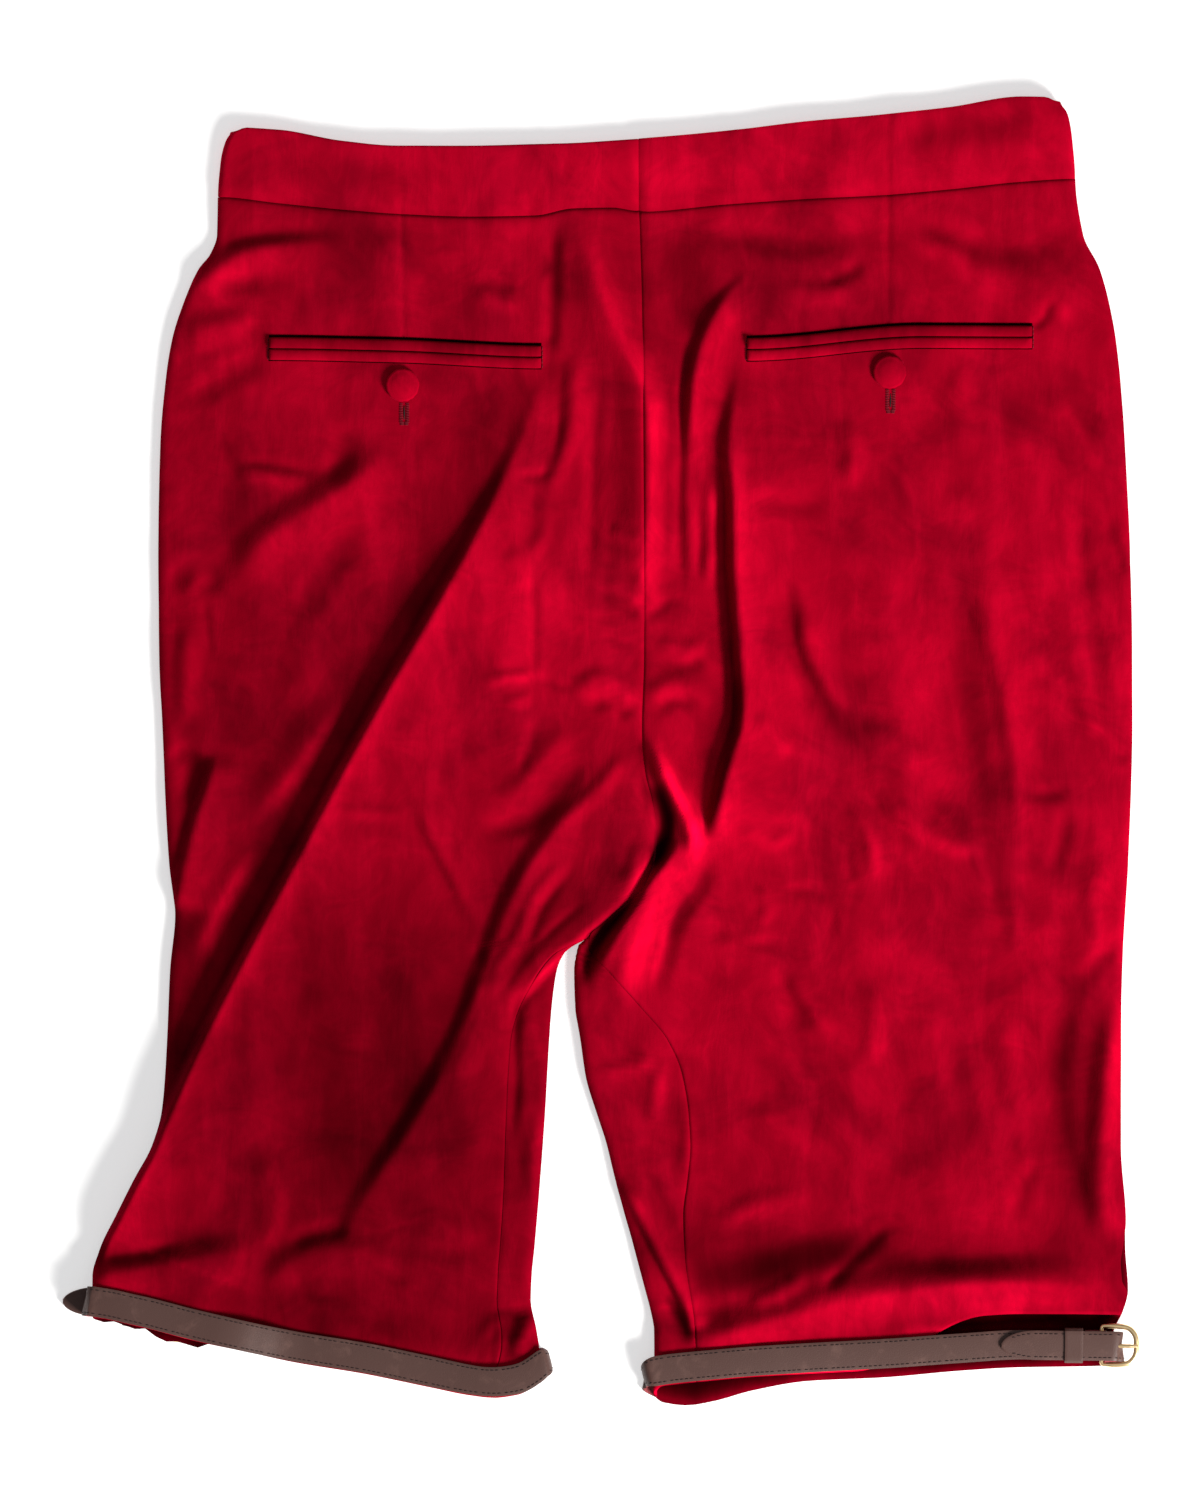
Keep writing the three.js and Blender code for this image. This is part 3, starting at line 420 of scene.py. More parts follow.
# Outer edge of each leg: height, side, and how far the back panel stops short of it at the vent.
outerEdge = {
    "left": [
        (277, -191), (257, -191.5), (247, -195), (240, -200.5), (222, -208.5), (205, -213.8),
        (187, -216.8), (152, -219.8), (100, -220.8), (47, -220.3), (12, -218.8), (-22, -217.3),
        (-57, -215.3), (-82, -212.3), (-110, -214.8), (-145, -216.3), (-180, -218.8), (-197, -223.3),
        (-215, -232.8), (-232, -241.3), (-250, -250), (-262, -253), (-275, -253), (-290, -252.5),
        (-325, -252),
    ],
    "right": [
        (286, 237.5, 0), (257, 241.5, 0), (240, 249.8, 0), (222, 254.8, 0), (205, 257.8, 0),
        (170, 261.3, 0), (135, 263.3, 0), (100, 264.8, 0), (47, 266, 0), (12, 266.2, 0), (-57, 264, 0),
        (-96, 261.6, 0), (-145, 260.3, 0), (-197, 260.3, 0), (-232, 262.8, 0), (-250, 263.2, 1),
        (-270, 264.6, 3), (-281, 261.5, 3), (-290, 257, 0.6), (-304, 256.5, 0.6), (-330, 256.5, 0.6),
    ],
}

# Seat seam: height, side.
centreSeam = [
    (286, 19), (257, 20), (222, 21), (187, 21.5), (100, 22), (47, 22), (12, 21), (-10, 22.5), (-25, 26),
    (-40, 28), (-55, 27), (-69, 22), (-79, 9), (-87, 0), (-92, -5.5),
]

# Below the seat: height, the leg's own inner edge, and the inseam on the upper side.
innerEdge = {
    "left": [
        (-92, -5.5, -5.5), (-100, -17, -21), (-110, -21.5, -30), (-128, -24, -40), (-145, -25.3, -45),
        (-180, -27.3, -47), (-215, -29.8, -48), (-250, -32.8, -50), (-262, -34, -51),
        (-275, -34.5, -52), (-290, -31.5, -53), (-304, -29.8, -54), (-325, -30.5, -54),
    ],
    "right": [
        (-92, -5.5, -5.5), (-98, -11, -6), (-110, -13, 4), (-128, -12.5, 20), (-145, -9.8, 34),
        (-162, -7.5, 41), (-180, -2.3, 44), (-197, 3.3, 45), (-215, 7.6, 43.5), (-232, 12.3, 41.5),
        (-250, 17.3, 41.5), (-267, 21.8, 43.5), (-281, 25.5, 46.5), (-290, 27, 48), (-304, 27, 48),
        (-330, 26.5, 48),
    ],
}

# Across the back: side, waist seam, the waistband's upper edge.
waistLine = [
    (-191, 275.8, 311), (-160, 272.6, 309.5), (-129, 269.5, 304), (-100, 267.3, 301.5),
    (-65, 266, 301.5), (-32, 266.6, 302.3), (-14, 270, 302.8), (6, 270.5, 304), (20, 268.6, 305),
    (64, 272.3, 309), (104, 275, 313.8), (143, 277, 317.2), (175, 279.8, 320.8), (210, 283.5, 326),
    (237, 285, 325.5),
]
waistFront = [(-191, 275.8), (20, 268.6), (237, 285)]
waistSides = {  # share of the band's height, side
    "left": [(0, -190.8), (0.5, -189.5), (0.85, -187), (1, -184.5)],
    "right": [(0, 237.3), (0.5, 235.8), (0.85, 233.5), (1, 230)],
}

# Middle line of each knee strap: side, height on the back of the leg, height on the front.
strapLine = {
    "left": [
        (-258, -273.8, -275.5), (-226, -279.5, -281), (-207, -284.5, -285.5), (-188, -289, -288.5),
        (-153, -297, -295), (-118, -302.8, -301), (-83, -310, -308), (-65, -313.6, -311),
        (-53, -314.8, -312), (-41, -313.2, -311), (-33, -309.5, -308.5), (-27, -305.5, -305.5),
    ],
    "right": [
        (20, -310.5, -313), (31, -308.8, -317.6), (43, -307.4, -319.2), (58, -306, -316.8),
        (75, -304.5, -312), (104, -302.8, -307), (142, -300.8, -305.2), (181, -298, -301.8),
        (209, -296.4, -300.2), (246, -296.8, -299.6), (262, -297, -299),
    ],
}

# Where each strap folds round its leg, and where its buckle, keeper and tip are.
straps = {
    "left": {"outerX": -256.5, "innerX": -24.5, "barX": -218, "endX": -200.5, "keeperX": -232.3,
             "tipX": -268.4, "out": -1, "fixedZ": 3.7, "endLift": 0.6, "returnRun": 8},
    "right": {"outerX": 260.5, "innerX": 21.5, "barX": 250, "endX": 267.4, "keeperX": 236,
              "tipX": 200, "out": 1, "fixedZ": 9.6, "endLift": -0.7, "returnRun": 8},
}

# The largest folds: height, reach to the left and to the right of the way it runs, how creased (0 to 1),
# share of the path that each end takes to rise (left out where both are 0.3), path.
bigFolds = [
    # left leg: the long diagonal from the pocket to the outer edge of the hem
    (13.5, 100, 7, 0.85, 0.34, 0.06, [
        (-27, 194), (-40, 155), (-51, 130), (-65, 102), (-80, 75), (-100, 40), (-124, -3), (-150, -53),
        (-175, -100), (-200, -150), (-220, -195), (-243, -240), (-250, -262)]),
    # left leg: the band from the crotch to the hem
    (4.8, 42, 9, 0.5, 0.15, 0.35, [
        (0, -20), (-22, -40), (-39, -65), (-50, -90), (-58, -112), (-67.5, -140), (-81.5, -167),
        (-98.5, -195), (-112, -215), (-122, -232), (-124, -245), (-110, -256), (-95, -263)]),
    (8, 4, 34, 0.4, 0.5, 0.2, [
        (21, -4), (24.5, -25), (25.5, -40), (24, -56), (18, -70), (4, -82), (-8, -92), (-22, -104),
        (-35, -117), (-44, -132)]),
    # seat
    (7.5, 12, 24, 0.4, 0.25, 0.3, [
        (-15, 277), (-11, 260), (-4, 240), (5, 215), (15, 195), (23, 175), (24.5, 150), (23.5, 120),
        (22, 95), (20, 40)]),
    (5.2, 18, 5, 0.45, 0.4, 0.3, [
        (79, 242), (67, 230), (57, 217), (50, 200), (46.5, 185), (45, 165), (44, 140)]),
    (-3, 5, 5, 0.2, 0.2, 0.3, [(46, 212), (42, 185), (40.5, 150), (39.5, 125), (40.5, 95), (41.5, 72)]),
    (-2.5, 22, 14, 0, 0.3, 0.4, [(30, 262), (38, 238), (44, 205)]),
    # right leg's inner edge, over a deep valley
    (11, 62, 5, 0.6, 0.35, 0.12, [
        (72, 202), (64, 155), (66, 125), (66.5, 95), (68.5, 65), (70.5, 35), (70, 12), (63.5, -5),
        (58, -30), (52, -52)]),
    (-3, 5, 6, 0, 0.2, 0.2, [(63, 150), (61, 110), (62, 70), (66, 30), (65, 10), (57, -15), (52, -38)]),
    # crotch
    (11, 9, 6, 0.4, 0.35, 0.3, [(22, 10), (27, -2), (34, -17), (41, -30), (46, -43), (43, -56)]),
    (9, 19, 6, 0.35, 0.3, 0.5, [
        (44, -36), (38, -50), (24.5, -66), (16, -80), (8.5, -93.5), (1, -110), (-4, -130)]),
    (-6, 4, 5, 0, 0.2, 0.15, [
        (28, -20), (33, -35), (30, -50), (21, -66), (13, -78), (4, -88), (-2, -96), (-7, -106),
        (-9, -118)]),
    (3.5, 14, 9, 0.2, [(34, -64), (26, -76), (18, -94), (12, -111), (6, -128)]),
    (-2.5, 8, 5, 0, 0.2, 0.3, [(54, -50), (50, -66), (38, -84), (32, -104), (26, -126)]),
    # hems
    (6, 15, 20, 0.35, 0.15, 0.15, [
        (38, -296), (75, -287), (100, -281), (120, -275), (150, -270), (180, -266), (215, -265),
        (248, -268)]),
    (3.6, 11, 20, 0.3, 0.1, 0.3, [(-253, -262), (-225, -258), (-200, -253), (-180, -250), (-163, -250)]),
    # right leg, soft and long
    (3, 40, 36, 0, [(120, 180), (140, 90), (150, -10), (160, -120)]),
    (3.6, 16, 9, 0.2, [(184, 100), (192, 70), (200, 38), (206, 5), (208, -20), (212, -60)]),
    (-1.6, 12, 10, 0, 0.3, 0.25, [
        (171, 128), (175, 95), (181, 50), (187, 0), (193, -40), (203, -75), (216, -108)]),
    (4.5, 10, 10, 0.3, 0.25, 0.15, [
        (257, -120), (254, -150), (251, -180), (249, -210), (250, -228), (257, -246)]),
    (-2.2, 9, 12, 0, 0.2, 0.2, [(236, -118), (229, -150), (228, -170), (232, -200), (241, -232)]),
    (5.5, 13, 4, 0.4, 0.2, 0.08, [(8, -213), (20, -232), (32, -255), (42, -275), (47, -291)]),
]

# The same for the finer creases.
smallCreases = [
    # left hip and thigh
    (3.6, 8, 15, 0.4, 0.1, 0.4, [(-203, 228), (-187, 242), (-169, 250), (-130, 254)]),
    (-2.4, 7, 7, 0, [(-196, 250), (-172, 258), (-120, 262)]),
    (-2.2, 7, 7, 0, [(-195, 231), (-167, 234)]),
    (2.6, 9, 11, 0.2, 0.2, 0.3, [(-209, 206), (-192, 211), (-169, 215)]),
    (-1.8, 9, 9, 0, 0.3, 0.2, [(-208, 172), (-183, 188), (-166, 195)]),
    (-1.4, 3, 3, 0.3, 0.3, 0.1, [(-178, 214), (-170, 208), (-165, 203)]),
    (4.5, 22, 12, 0.3, [
        (-102, 162), (-110, 146), (-125, 132), (-150, 117), (-170, 102), (-181, 85), (-190, 72)]),
    (-2, 10, 8, 0, [(-128, 165), (-130, 145), (-140, 132)]),
    (-1.7, 4, 4, 0.3, [(-185, 143), (-172, 143.5), (-150, 140), (-136, 137)]),
    (1.5, 6, 5, 0.3, [(-183, 138), (-166, 137), (-146, 134)]),
    (-1.4, 4, 4, 0.3, [(-197, 163), (-186, 148), (-181, 135), (-174, 121)]),
    (-3, 8, 7, 0.1, 0.3, 0.2, [(-214, 78), (-205, 92), (-196, 88), (-194, 76)]),
    (-1.3, 3, 3, 0.3, 0.2, 0.3, [(-197.5, 76), (-196.5, 60), (-193, 47), (-188, 49)]),
    (2.6, 9, 6, 0.3, [(-205, 68), (-207, 40), (-206, 10)]),
    (5.5, 26, 4, 0.6, 0.15, 0.1, [(-191, 0), (-194, -12), (-200, -30), (-205, -47), (-212, -80)]),
    (-3, 6, 8, 0, 0.2, 0.3, [(-214, 2), (-203, -6), (-206, -30)]),
    (3.2, 8, 14, 0.3, [(-125, 34), (-147, 0), (-162, -20), (-182, -38)]),
    (2.8, 7, 10, 0.4, 0.25, 0.3, [(-173, -46), (-187, -70), (-196, -88), (-205, -110)]),
    (-1.6, 10, 10, 0, [(-120, 110), (-140, 85), (-150, 60)]),
    (1.6, 12, 10, 0, [(-172, 66), (-150, 40), (-160, 20)]),
    # between the left pocket and the seat
    (-1.9, 4, 4, 0.2, 0.2, 0.1, [(-22, 266), (-22.5, 240), (-23, 215), (-24, 201)]),
    (-2, 5, 5, 0.2, 0.3, 0.2, [(-45, 263), (-34, 249), (-25, 236)]),
    (-1.3, 5, 5, 0.2, [(-62, 237), (-52, 233), (-43, 229)]),
    (1.4, 6, 6, 0.2, [(-66, 230), (-50, 224), (-38, 222)]),
    (-1.5, 3, 3, 0.3, 0.1, 0.3, [(-20, 198), (-20.5, 170), (-21.5, 150), (-27, 135)]),
    (2.2, 7, 5, 0.3, 0.2, 0.3, [(-12, 200), (-14, 165), (-22, 140), (-27, 122)]),
    (-1.4, 3, 4, 0.3, [(-42, 138), (-30, 137), (-22, 143)]),
    (-1.8, 5, 5, 0.1, 0.2, 0.3, [(-1, 188), (-3.5, 150), (-4.5, 105), (-6, 70)]),
    (1.6, 5, 5, 0.2, [(-30, 128), (-28, 110), (-36, 94)]),
    (2, 7, 9, 0.3, [(-48, 100), (-40, 92), (-36, 78)]),
    (-1.4, 3, 3, 0.2, 0.2, 0.3, [(-36, 96), (-33, 75), (-33, 50), (-34, 30)]),
    (1.9, 3, 4, 0.5, 0.5, 0.08, [(-62, 33), (-50, 36), (-34, 38)]),
    (1.4, 3, 4, 0.5, 0.5, 0.08, [(-50, 22), (-42, 25), (-35, 26)]),
    (-1.2, 3, 3, 0.3, 0.2, 0.4, [(-33, 37), (-20, 32), (-10, 30)]),
    (-1.1, 4, 4, 0.2, [(-30, 20), (-36, 0), (-42, -18)]),
    # seat, crumpled round the seam
    (-1.8, 4, 4, 0.3, 0.3, 0.2, [(-2, 82), (9, 74), (20, 66)]),
    (1.6, 4, 4, 0.4, 0.3, 0.2, [(2, 86), (12, 80), (20, 73)]),
    (-1.4, 4, 4, 0.3, 0.2, 0.4, [(22, 65), (30, 71), (37, 78)]),
    (-1.4, 4, 4, 0.3, 0.3, 0.2, [(0, 98), (12, 90), (20, 84)]),
    (1.5, 4, 4, 0.3, 0.3, 0.2, [(6, 112), (13, 106), (20, 104)]),
    (-1.2, 3, 3, 0.3, [(2, 60), (10, 54), (19, 52)]),
    (2.4, 6, 8, 0.3, 0.25, 0.2, [(-14, 26), (-2, 36), (10, 32), (19, 22)]),
    (-2, 6, 5, 0, 0.3, 0.2, [(-8, 22), (6, 24), (15, 15)]),
    (2, 6, 7, 0.3, 0.2, 0.3, [(23, 24), (32, 32), (45, 31), (54, 20)]),
    (-1.6, 5, 5, 0, [(26, 20), (38, 25), (50, 22)]),
    (1.8, 6, 6, 0.2, [(28, 56), (42, 50), (54, 54)]),
    (-1.4, 5, 5, 0.1, [(26, 46), (40, 42), (54, 46)]),
    (2.2, 5, 5, 0.2, 0.2, 0.3, [(52, 138), (56, 120), (55, 95), (53, 78)]),
    (-1.5, 3, 3, 0.2, [(48, 130), (50, 105), (49, 80)]),
    # towards the crotch
    (-3, 8, 8, 0, 0.25, 0.3, [(-4, -2), (-20, -17), (-32, -32), (-47, -38), (-66, -39)]),
    (2.4, 8, 8, 0.3, [(-14, 14), (-29, -5), (-42, -20), (-56, -26)]),
    (2.2, 7, 5, 0.4, 0.2, 0.3, [(14, 0), (2, -16), (-14, -30), (-26, -42)]),
    (-1.4, 4, 3, 0.3, [(22, -4), (21, -20), (25, -38), (26, -52)]),
    (2, 5, 5, 0.4, [(20, -44), (17, -58), (11, -70)]),
    (-1.6, 3, 3, 0.3, [(-10, -56), (-27, -76), (-36, -97), (-52, -118)]),
    (1.6, 3, 3, 0.3, [(-14, -52), (-31, -70), (-41, -92), (-56, -116)]),
    (-1.4, 3, 3, 0.3, [(-2, -72), (-22, -88), (-40, -108), (-56, -130)]),
    (-1.2, 3, 3, 0.3, [(-60, -120), (-68, -142), (-84, -172)]),
    (-2.1, 4, 6, 0.3, [(-101, -12), (-97, -25), (-87, -45), (-75, -70), (-66, -86), (-60, -98)]),
    (1.8, 6, 4, 0.4, [(-94, -24), (-83, -46), (-70, -70), (-61, -88)]),
    (1.5, 4, 5, 0.4, 0.4, 0.3, [(-137, -29), (-112, -31), (-95, -33)]),
    (-2.2, 7, 7, 0.1, [(-64, -96), (-58, -104), (-56, -118)]),
    # left leg, below
    (1.8, 12, 10, 0, [(-148, -118), (-130, -135), (-112, -146)]),
    (-1.6, 12, 12, 0, [(-120, -70), (-110, -100), (-100, -128)]),
    (3, 6, 13, 0.2, 0.3, 0.2, [(-176, -200), (-164, -214), (-162, -232), (-168, -249)]),
    (3.6, 9, 17, 0.3, 0.2, 0.35, [(-170, -272), (-156, -257), (-140, -250), (-122, -250), (-98, -262)]),
    (-2.4, 6, 6, 0, 0.3, 0.2, [(-158, -247), (-142, -241), (-125, -238)]),
    (-2.6, 5, 6, 0.1, 0.2, 0.4, [(-251, -253), (-232, -251), (-206, -246)]),
    (-1.5, 4, 4, 0.3, [(-152, -258), (-146, -270), (-128, -274)]),
    (-1.6, 3, 3, 0.3, 0.2, 0.2, [(-122, -250), (-108, -260), (-95, -267)]),
    (1.6, 8, 8, 0.2, [(-92, -232), (-70, -240), (-55, -244)]),
    (-1.5, 6, 6, 0.1, [(-112, -246), (-88, -250), (-60, -254)]),
    (-2.6, 4, 4, 0, 0.2, 0.3, [(-27, -117), (-40, -125), (-43, -145), (-42, -165), (-45, -200)]),
    (2, 5, 6, 0.3, [(-38, -132), (-33, -146), (-27, -154)]),
    (1.6, 6, 6, 0.2, [(-30, -180), (-34, -205), (-31, -230)]),
    (4, 5, 5, 0.3, 0.2, 0.2, [(-34, -282), (-38, -291), (-42, -301)]),
    (-2.8, 4, 4, 0, 0.3, 0.2, [(-54, -279), (-43, -281), (-34, -280)]),
    (-3, 4, 4, 0, 0.2, 0.2, [(-48, -296), (-44, -302), (-38, -300)]),
    (1.5, 3, 3, 0.3, [(-60, -297), (-55, -287), (-43, -281)]),
    # right hip
    (-2.4, 9, 10, 0, 0.2, 0.3, [(154, 269), (175, 259), (200, 250), (222, 249), (248, 228)]),
    (2.4, 9, 9, 0.2, [(150, 263), (172, 250), (192, 235), (206, 219)]),
    (1.8, 6, 7, 0.3, [(208, 240), (222, 230), (236, 212)]),
    (-2.4, 9, 9, 0, 0.2, 0.3, [(46, 264), (75, 257), (100, 253), (134, 259)]),
    (-1.8, 5, 5, 0.2, [(110, 234), (121, 237), (134, 245)]),
    (1.8, 6, 8, 0.2, [(88, 232), (108, 228), (128, 232)]),
    (-2, 3, 3, 0.4, 0.3, 0.1, [(66, 217), (70, 209), (74, 205)]),
    (-2, 3, 3, 0.4, 0.1, 0.3, [(215, 211), (222, 216), (225, 227)]),
    (1.8, 4, 4, 0.4, 0.2, 0.3, [(228, 277), (236, 262), (243, 252)]),
    (-2.2, 8, 8, 0, [(222, 204), (235, 181), (251, 154)]),
    (2, 8, 6, 0.3, [(222, 182), (238, 158), (250, 136)]),
    (-1.7, 4, 4, 0.3, 0.2, 0.3, [(50, 190), (54, 178), (62, 170)]),
    (2.2, 8, 6, 0.1, [(118, 165), (126, 150), (122, 128)]),
    (1.8, 10, 10, 0, [(186, 195), (178, 172), (186, 145)]),
    (1.6, 10, 12, 0, [(172, 132), (192, 118), (206, 100)]),
    (-1.5, 8, 8, 0.1, [(70, 128), (92, 122), (116, 124)]),
    # right edge
    (-1.8, 4, 4, 0.2, 0.3, 0.2, [(251, 118), (257, 102), (263, 88)]),
    (-2.2, 7, 7, 0, [(237, 142), (240, 100), (243, 72), (250, 25), (253, 0)]),
    (2, 7, 6, 0.3, 0.3, 0.2, [(236, 40), (246, 12), (256, -4), (264, -12)]),
    (-2, 5, 5, 0.2, 0.3, 0.2, [(244, 12), (254, 0), (264, -6)]),
    (-1.8, 5, 5, 0.2, [(208, -12), (215, -22), (236, -20)]),
    (-1.7, 6, 6, 0.1, [(233, -25), (230, -45), (224, -66)]),
    (2, 8, 7, 0.2, [(252, -50), (246, -75), (250, -102)]),
    (-1.6, 6, 7, 0.1, [(262, -92), (248, -106), (238, -122)]),
    # right thigh
    (-3.6, 6, 8, 0.3, 0.25, 0.3, [(91, 95), (95, 70), (98, 50), (106, 31), (117, 15), (131, 1)]),
    (3.2, 9, 6, 0.3, [(99, 72), (104, 50), (113, 33), (126, 18)]),
    (2.4, 6, 5, 0.4, [(77, 19), (85, 9), (96, -2)]),
    (2, 7, 7, 0.3, [(130, 14), (150, 2), (165, -9)]),
    (-2, 7, 6, 0.1, [(134, 0), (156, -14), (184, -38)]),
    (3.6, 12, 6, 0.4, 0.3, 0.2, [(138, -19), (154, -35), (170, -45), (193, -51)]),
    (-1.8, 5, 6, 0.2, [(130, -18), (144, -36), (160, -50)]),
    (1.9, 4, 4, 0.4, [(124, -26), (134, -44), (137, -66)]),
    (-1.5, 3, 3, 0.3, [(121, -46), (127, -66)]),
    (-1.8, 4, 4, 0.3, [(90, -70), (106, -70), (116, -77), (114, -99)]),
    (1.6, 5, 5, 0.3, [(78, -66), (84, -78), (78, -90)]),
    (-1.8, 6, 5, 0.2, 0.2, 0.3, [(56, -80), (62, -93), (86, -97), (102, -108)]),
    (1.7, 5, 5, 0.3, [(68, -36), (84, -46), (98, -40)]),
    (1.5, 5, 5, 0.3, [(56, -96), (74, -94), (90, -90)]),
    (-1.6, 6, 6, 0.1, [(192, -62), (200, -84), (204, -100)]),
    # right leg, below
    (3.2, 9, 12, 0.2, [
        (58, -108), (72, -130), (85, -145), (100, -165), (115, -180), (135, -197), (150, -206)]),
    (1.9, 6, 7, 0.3, [(76, -177), (95, -190), (108, -202)]),
    (2.4, 6, 6, 0.3, [(92, -108), (108, -132), (118, -143)]),
    (-1.8, 6, 6, 0.1, [(86, -108), (96, -126), (106, -142)]),
    (1.8, 8, 8, 0.1, [(134, -112), (138, -135), (134, -160)]),
    (-1.6, 7, 8, 0, [(172, -130), (180, -165), (184, -200)]),
    (1.6, 8, 8, 0.1, [(200, -125), (204, -160), (212, -195)]),
    (-2.6, 12, 12, 0, 0.2, 0.3, [
        (46, -263), (75, -257), (100, -252), (125, -245), (142, -237), (154, -229)]),
    (-2.2, 9, 9, 0, [(125, -250), (175, -254), (218, -255)]),
    (2.8, 5, 6, 0.3, [(72, -276), (90, -270), (104, -261)]),
    (-2.2, 4, 4, 0.2, 0.2, 0.3, [(110, -271), (122, -258), (135, -245), (147, -236)]),
    (1.5, 7, 7, 0.2, [(56, -238), (80, -226), (108, -222)]),
    (-1.4, 6, 6, 0.1, [(206, -238), (212, -215), (222, -205)]),
    (-3.2, 6, 6, 0, 0.2, 0.1, [(33, -276), (39, -287), (45, -293)]),
    (1.8, 5, 5, 0.3, [(-3, -161), (14, -158), (32, -152)]),
    (1.8, 5, 5, 0.3, [(33, -152), (28, -168), (26, -190)]),
    (1.7, 4, 5, 0.3, [(40, -172), (44, -190), (42, -215)]),
    (-1.4, 4, 4, 0.2, [(20, -206), (28, -222), (36, -238)]),
]


def smooth(low, high, x):
    t = np.clip((x - low) / (high - low), 0, 1)
    return t * t * (3 - 2 * t)


def mix(a, b, share):
    return a + (b - a) * share


# A smooth function through one column of a table, held level past its ends.
def through(rows, column=1):
    rows = sorted(rows)
    xs = np.array([row[0] for row in rows], float)
    ys = np.array([row[column] for row in rows], float)
    slope = np.diff(ys) / np.diff(xs)
    tangent = np.zeros_like(ys)
    alike = slope[:-1] * slope[1:] > 0
    both = np.where(alike, slope[:-1] + slope[1:], 1)
    tangent[1:-1] = np.where(alike, 2 * slope[:-1] * slope[1:] / both, 0)

    def value(x):
        x = np.clip(np.asarray(x, float), xs[0], xs[-1])
        i = np.clip(np.searchsorted(xs, x, side="right") - 1, 0, len(xs) - 2)
        step = xs[i + 1] - xs[i]
        t = (x - xs[i]) / step
        rise = ys[i] + (ys[i + 1] - ys[i]) * t * t * (3 - 2 * t)
        return rise + t * (1 - t) ** 2 * step * tangent[i] + t * t * (t - 1) * step * tangent[i + 1]

    return value


sides = ("left", "right")
seamY = through(waistLine, 1)
topY = through(waistLine, 2)
frontSeamY = through(waistFront)
centre = through(centreSeam)
ventOf = {"left": lambda y: 0 * y, "right": through(outerEdge["right"], 2)}
strapY = {side: {"back": through(rows, 1), "front": through(rows, 2)} for side, rows in strapLine.items()}
outerOf = {side: through(outerEdge[side]) for side in sides}


def belowSeat(side, column):
    own = through(innerEdge[side], column)
    return lambda y: np.where(y > body["crotchTop"], centre(y), own(y))


innerOf = {side: belowSeat(side, 1) for side in sides}
inseamOf = {side: belowSeat(side, 2) for side in sides}


def backHem(side, x):
    hem = strapY[side]["back"](x) - body["hemTurn"]
    return hem + (body["ventRise"] * smooth(*body["ventRun"], x) if side == "right" else 0)


# The left cuff comes out below its strap in small dips, and covers the buckle beneath it.
def frontHem(side, x):
    hem = strapY[side]["front"](x) - body["hemTurn"]
    if side == "right":
        return hem
    dips = 1.6 * np.sin((x + 257) / 14.5 * math.pi / 1.1) ** 2 - 0.9
    overBuckle = 2.6 * smooth(-226, -220, x)
    return hem - smooth(-262, -254, x) * smooth(-192, -202, x) * (dips + overBuckle)


# A path through points at even steps (a Catmull-Rom spline).
def evenPath(points, steps):
    points = np.array(points, float)
    padded = np.vstack([2 * points[0] - points[1], points, 2 * points[-1] - points[-2]])
    dense = []
    for i in range(len(points) - 1):
        a, b, c, d = padded[i:i + 4]
        t = np.linspace(0, 1, 16, endpoint=False)[:, None]
        bend = (2 * a - 5 * b + 4 * c - d) * t ** 2 + (3 * b - a - 3 * c + d) * t ** 3
        dense.append(0.5 * (2 * b + (c - a) * t + bend))
    dense = np.vstack(dense + [points[-1:]])
    along = np.concatenate([[0], np.cumsum(np.linalg.norm(np.diff(dense, axis=0), axis=1))])
    wanted = np.linspace(0, along[-1], steps + 1)
    return np.stack([np.interp(wanted, along, dense[:, k]) for k in range(points.shape[1])], axis=1)


# Height that one fold adds at each point. A creased fold has a narrow top, a soft one a round top.
def foldHeight(fold, x, y, steps=24):
    height, left, right, crisp, *fades, path = fold
    early, late = fades or (0.3, 0.3)
    line = evenPath(path, steps)
    reach = max(left, right)
    total = np.zeros_like(x)
    near = (x > line[:, 0].min() - reach) & (x < line[:, 0].max() + reach)
    near &= (y > line[:, 1].min() - reach) & (y < line[:, 1].max() + reach)
    if not near.any():
        return total
    px, py = x[near], y[near]
    best = np.full(px.shape, 1e9)
    along = np.zeros(px.shape)
    isLeft = np.zeros(px.shape, bool)
    for i in range(steps):
        ax, ay = line[i]
        ex, ey = line[i + 1] - line[i]
        t = np.clip(((px - ax) * ex + (py - ay) * ey) / (ex * ex + ey * ey), 0, 1)
        distance = np.hypot(px - ax - t * ex, py - ay - t * ey)
        closer = distance < best
        best[closer] = distance[closer]
        along[closer] = ((i + t) / steps)[closer]
        isLeft[closer] = (ex * (py - ay) - ey * (px - ax) > 0)[closer]
    share = np.minimum(best / np.where(isLeft, left, right), 1)
    roundTop = 0.5 + 0.5 * np.cos(math.pi * share)
    ends = smooth(0, early, along) * smooth(0, late, 1 - along)
    total[near] = height * ends * mix(roundTop, (1 - share) ** 2, crisp)
    return total


# The cloth's height, kept as maps of one value per millimetre

mapReach = (300, 345)
mapX, mapY = np.meshgrid(*(np.arange(-reach, reach + 1.0) for reach in mapReach))
random = np.random.default_rng(17)


def sample(values, x, y):
    fx = np.clip(np.asarray(x, float) + mapReach[0], 0, 2 * mapReach[0] - 0.001)
    fy = np.clip(np.asarray(y, float) + mapReach[1], 0, 2 * mapReach[1] - 0.001)
    i, j = fx.astype(int), fy.astype(int)
    tx, ty = fx - i, fy - j
    low = mix(values[j, i], values[j, i + 1], tx)
    return mix(low, mix(values[j + 1, i], values[j + 1, i + 1], tx), ty)


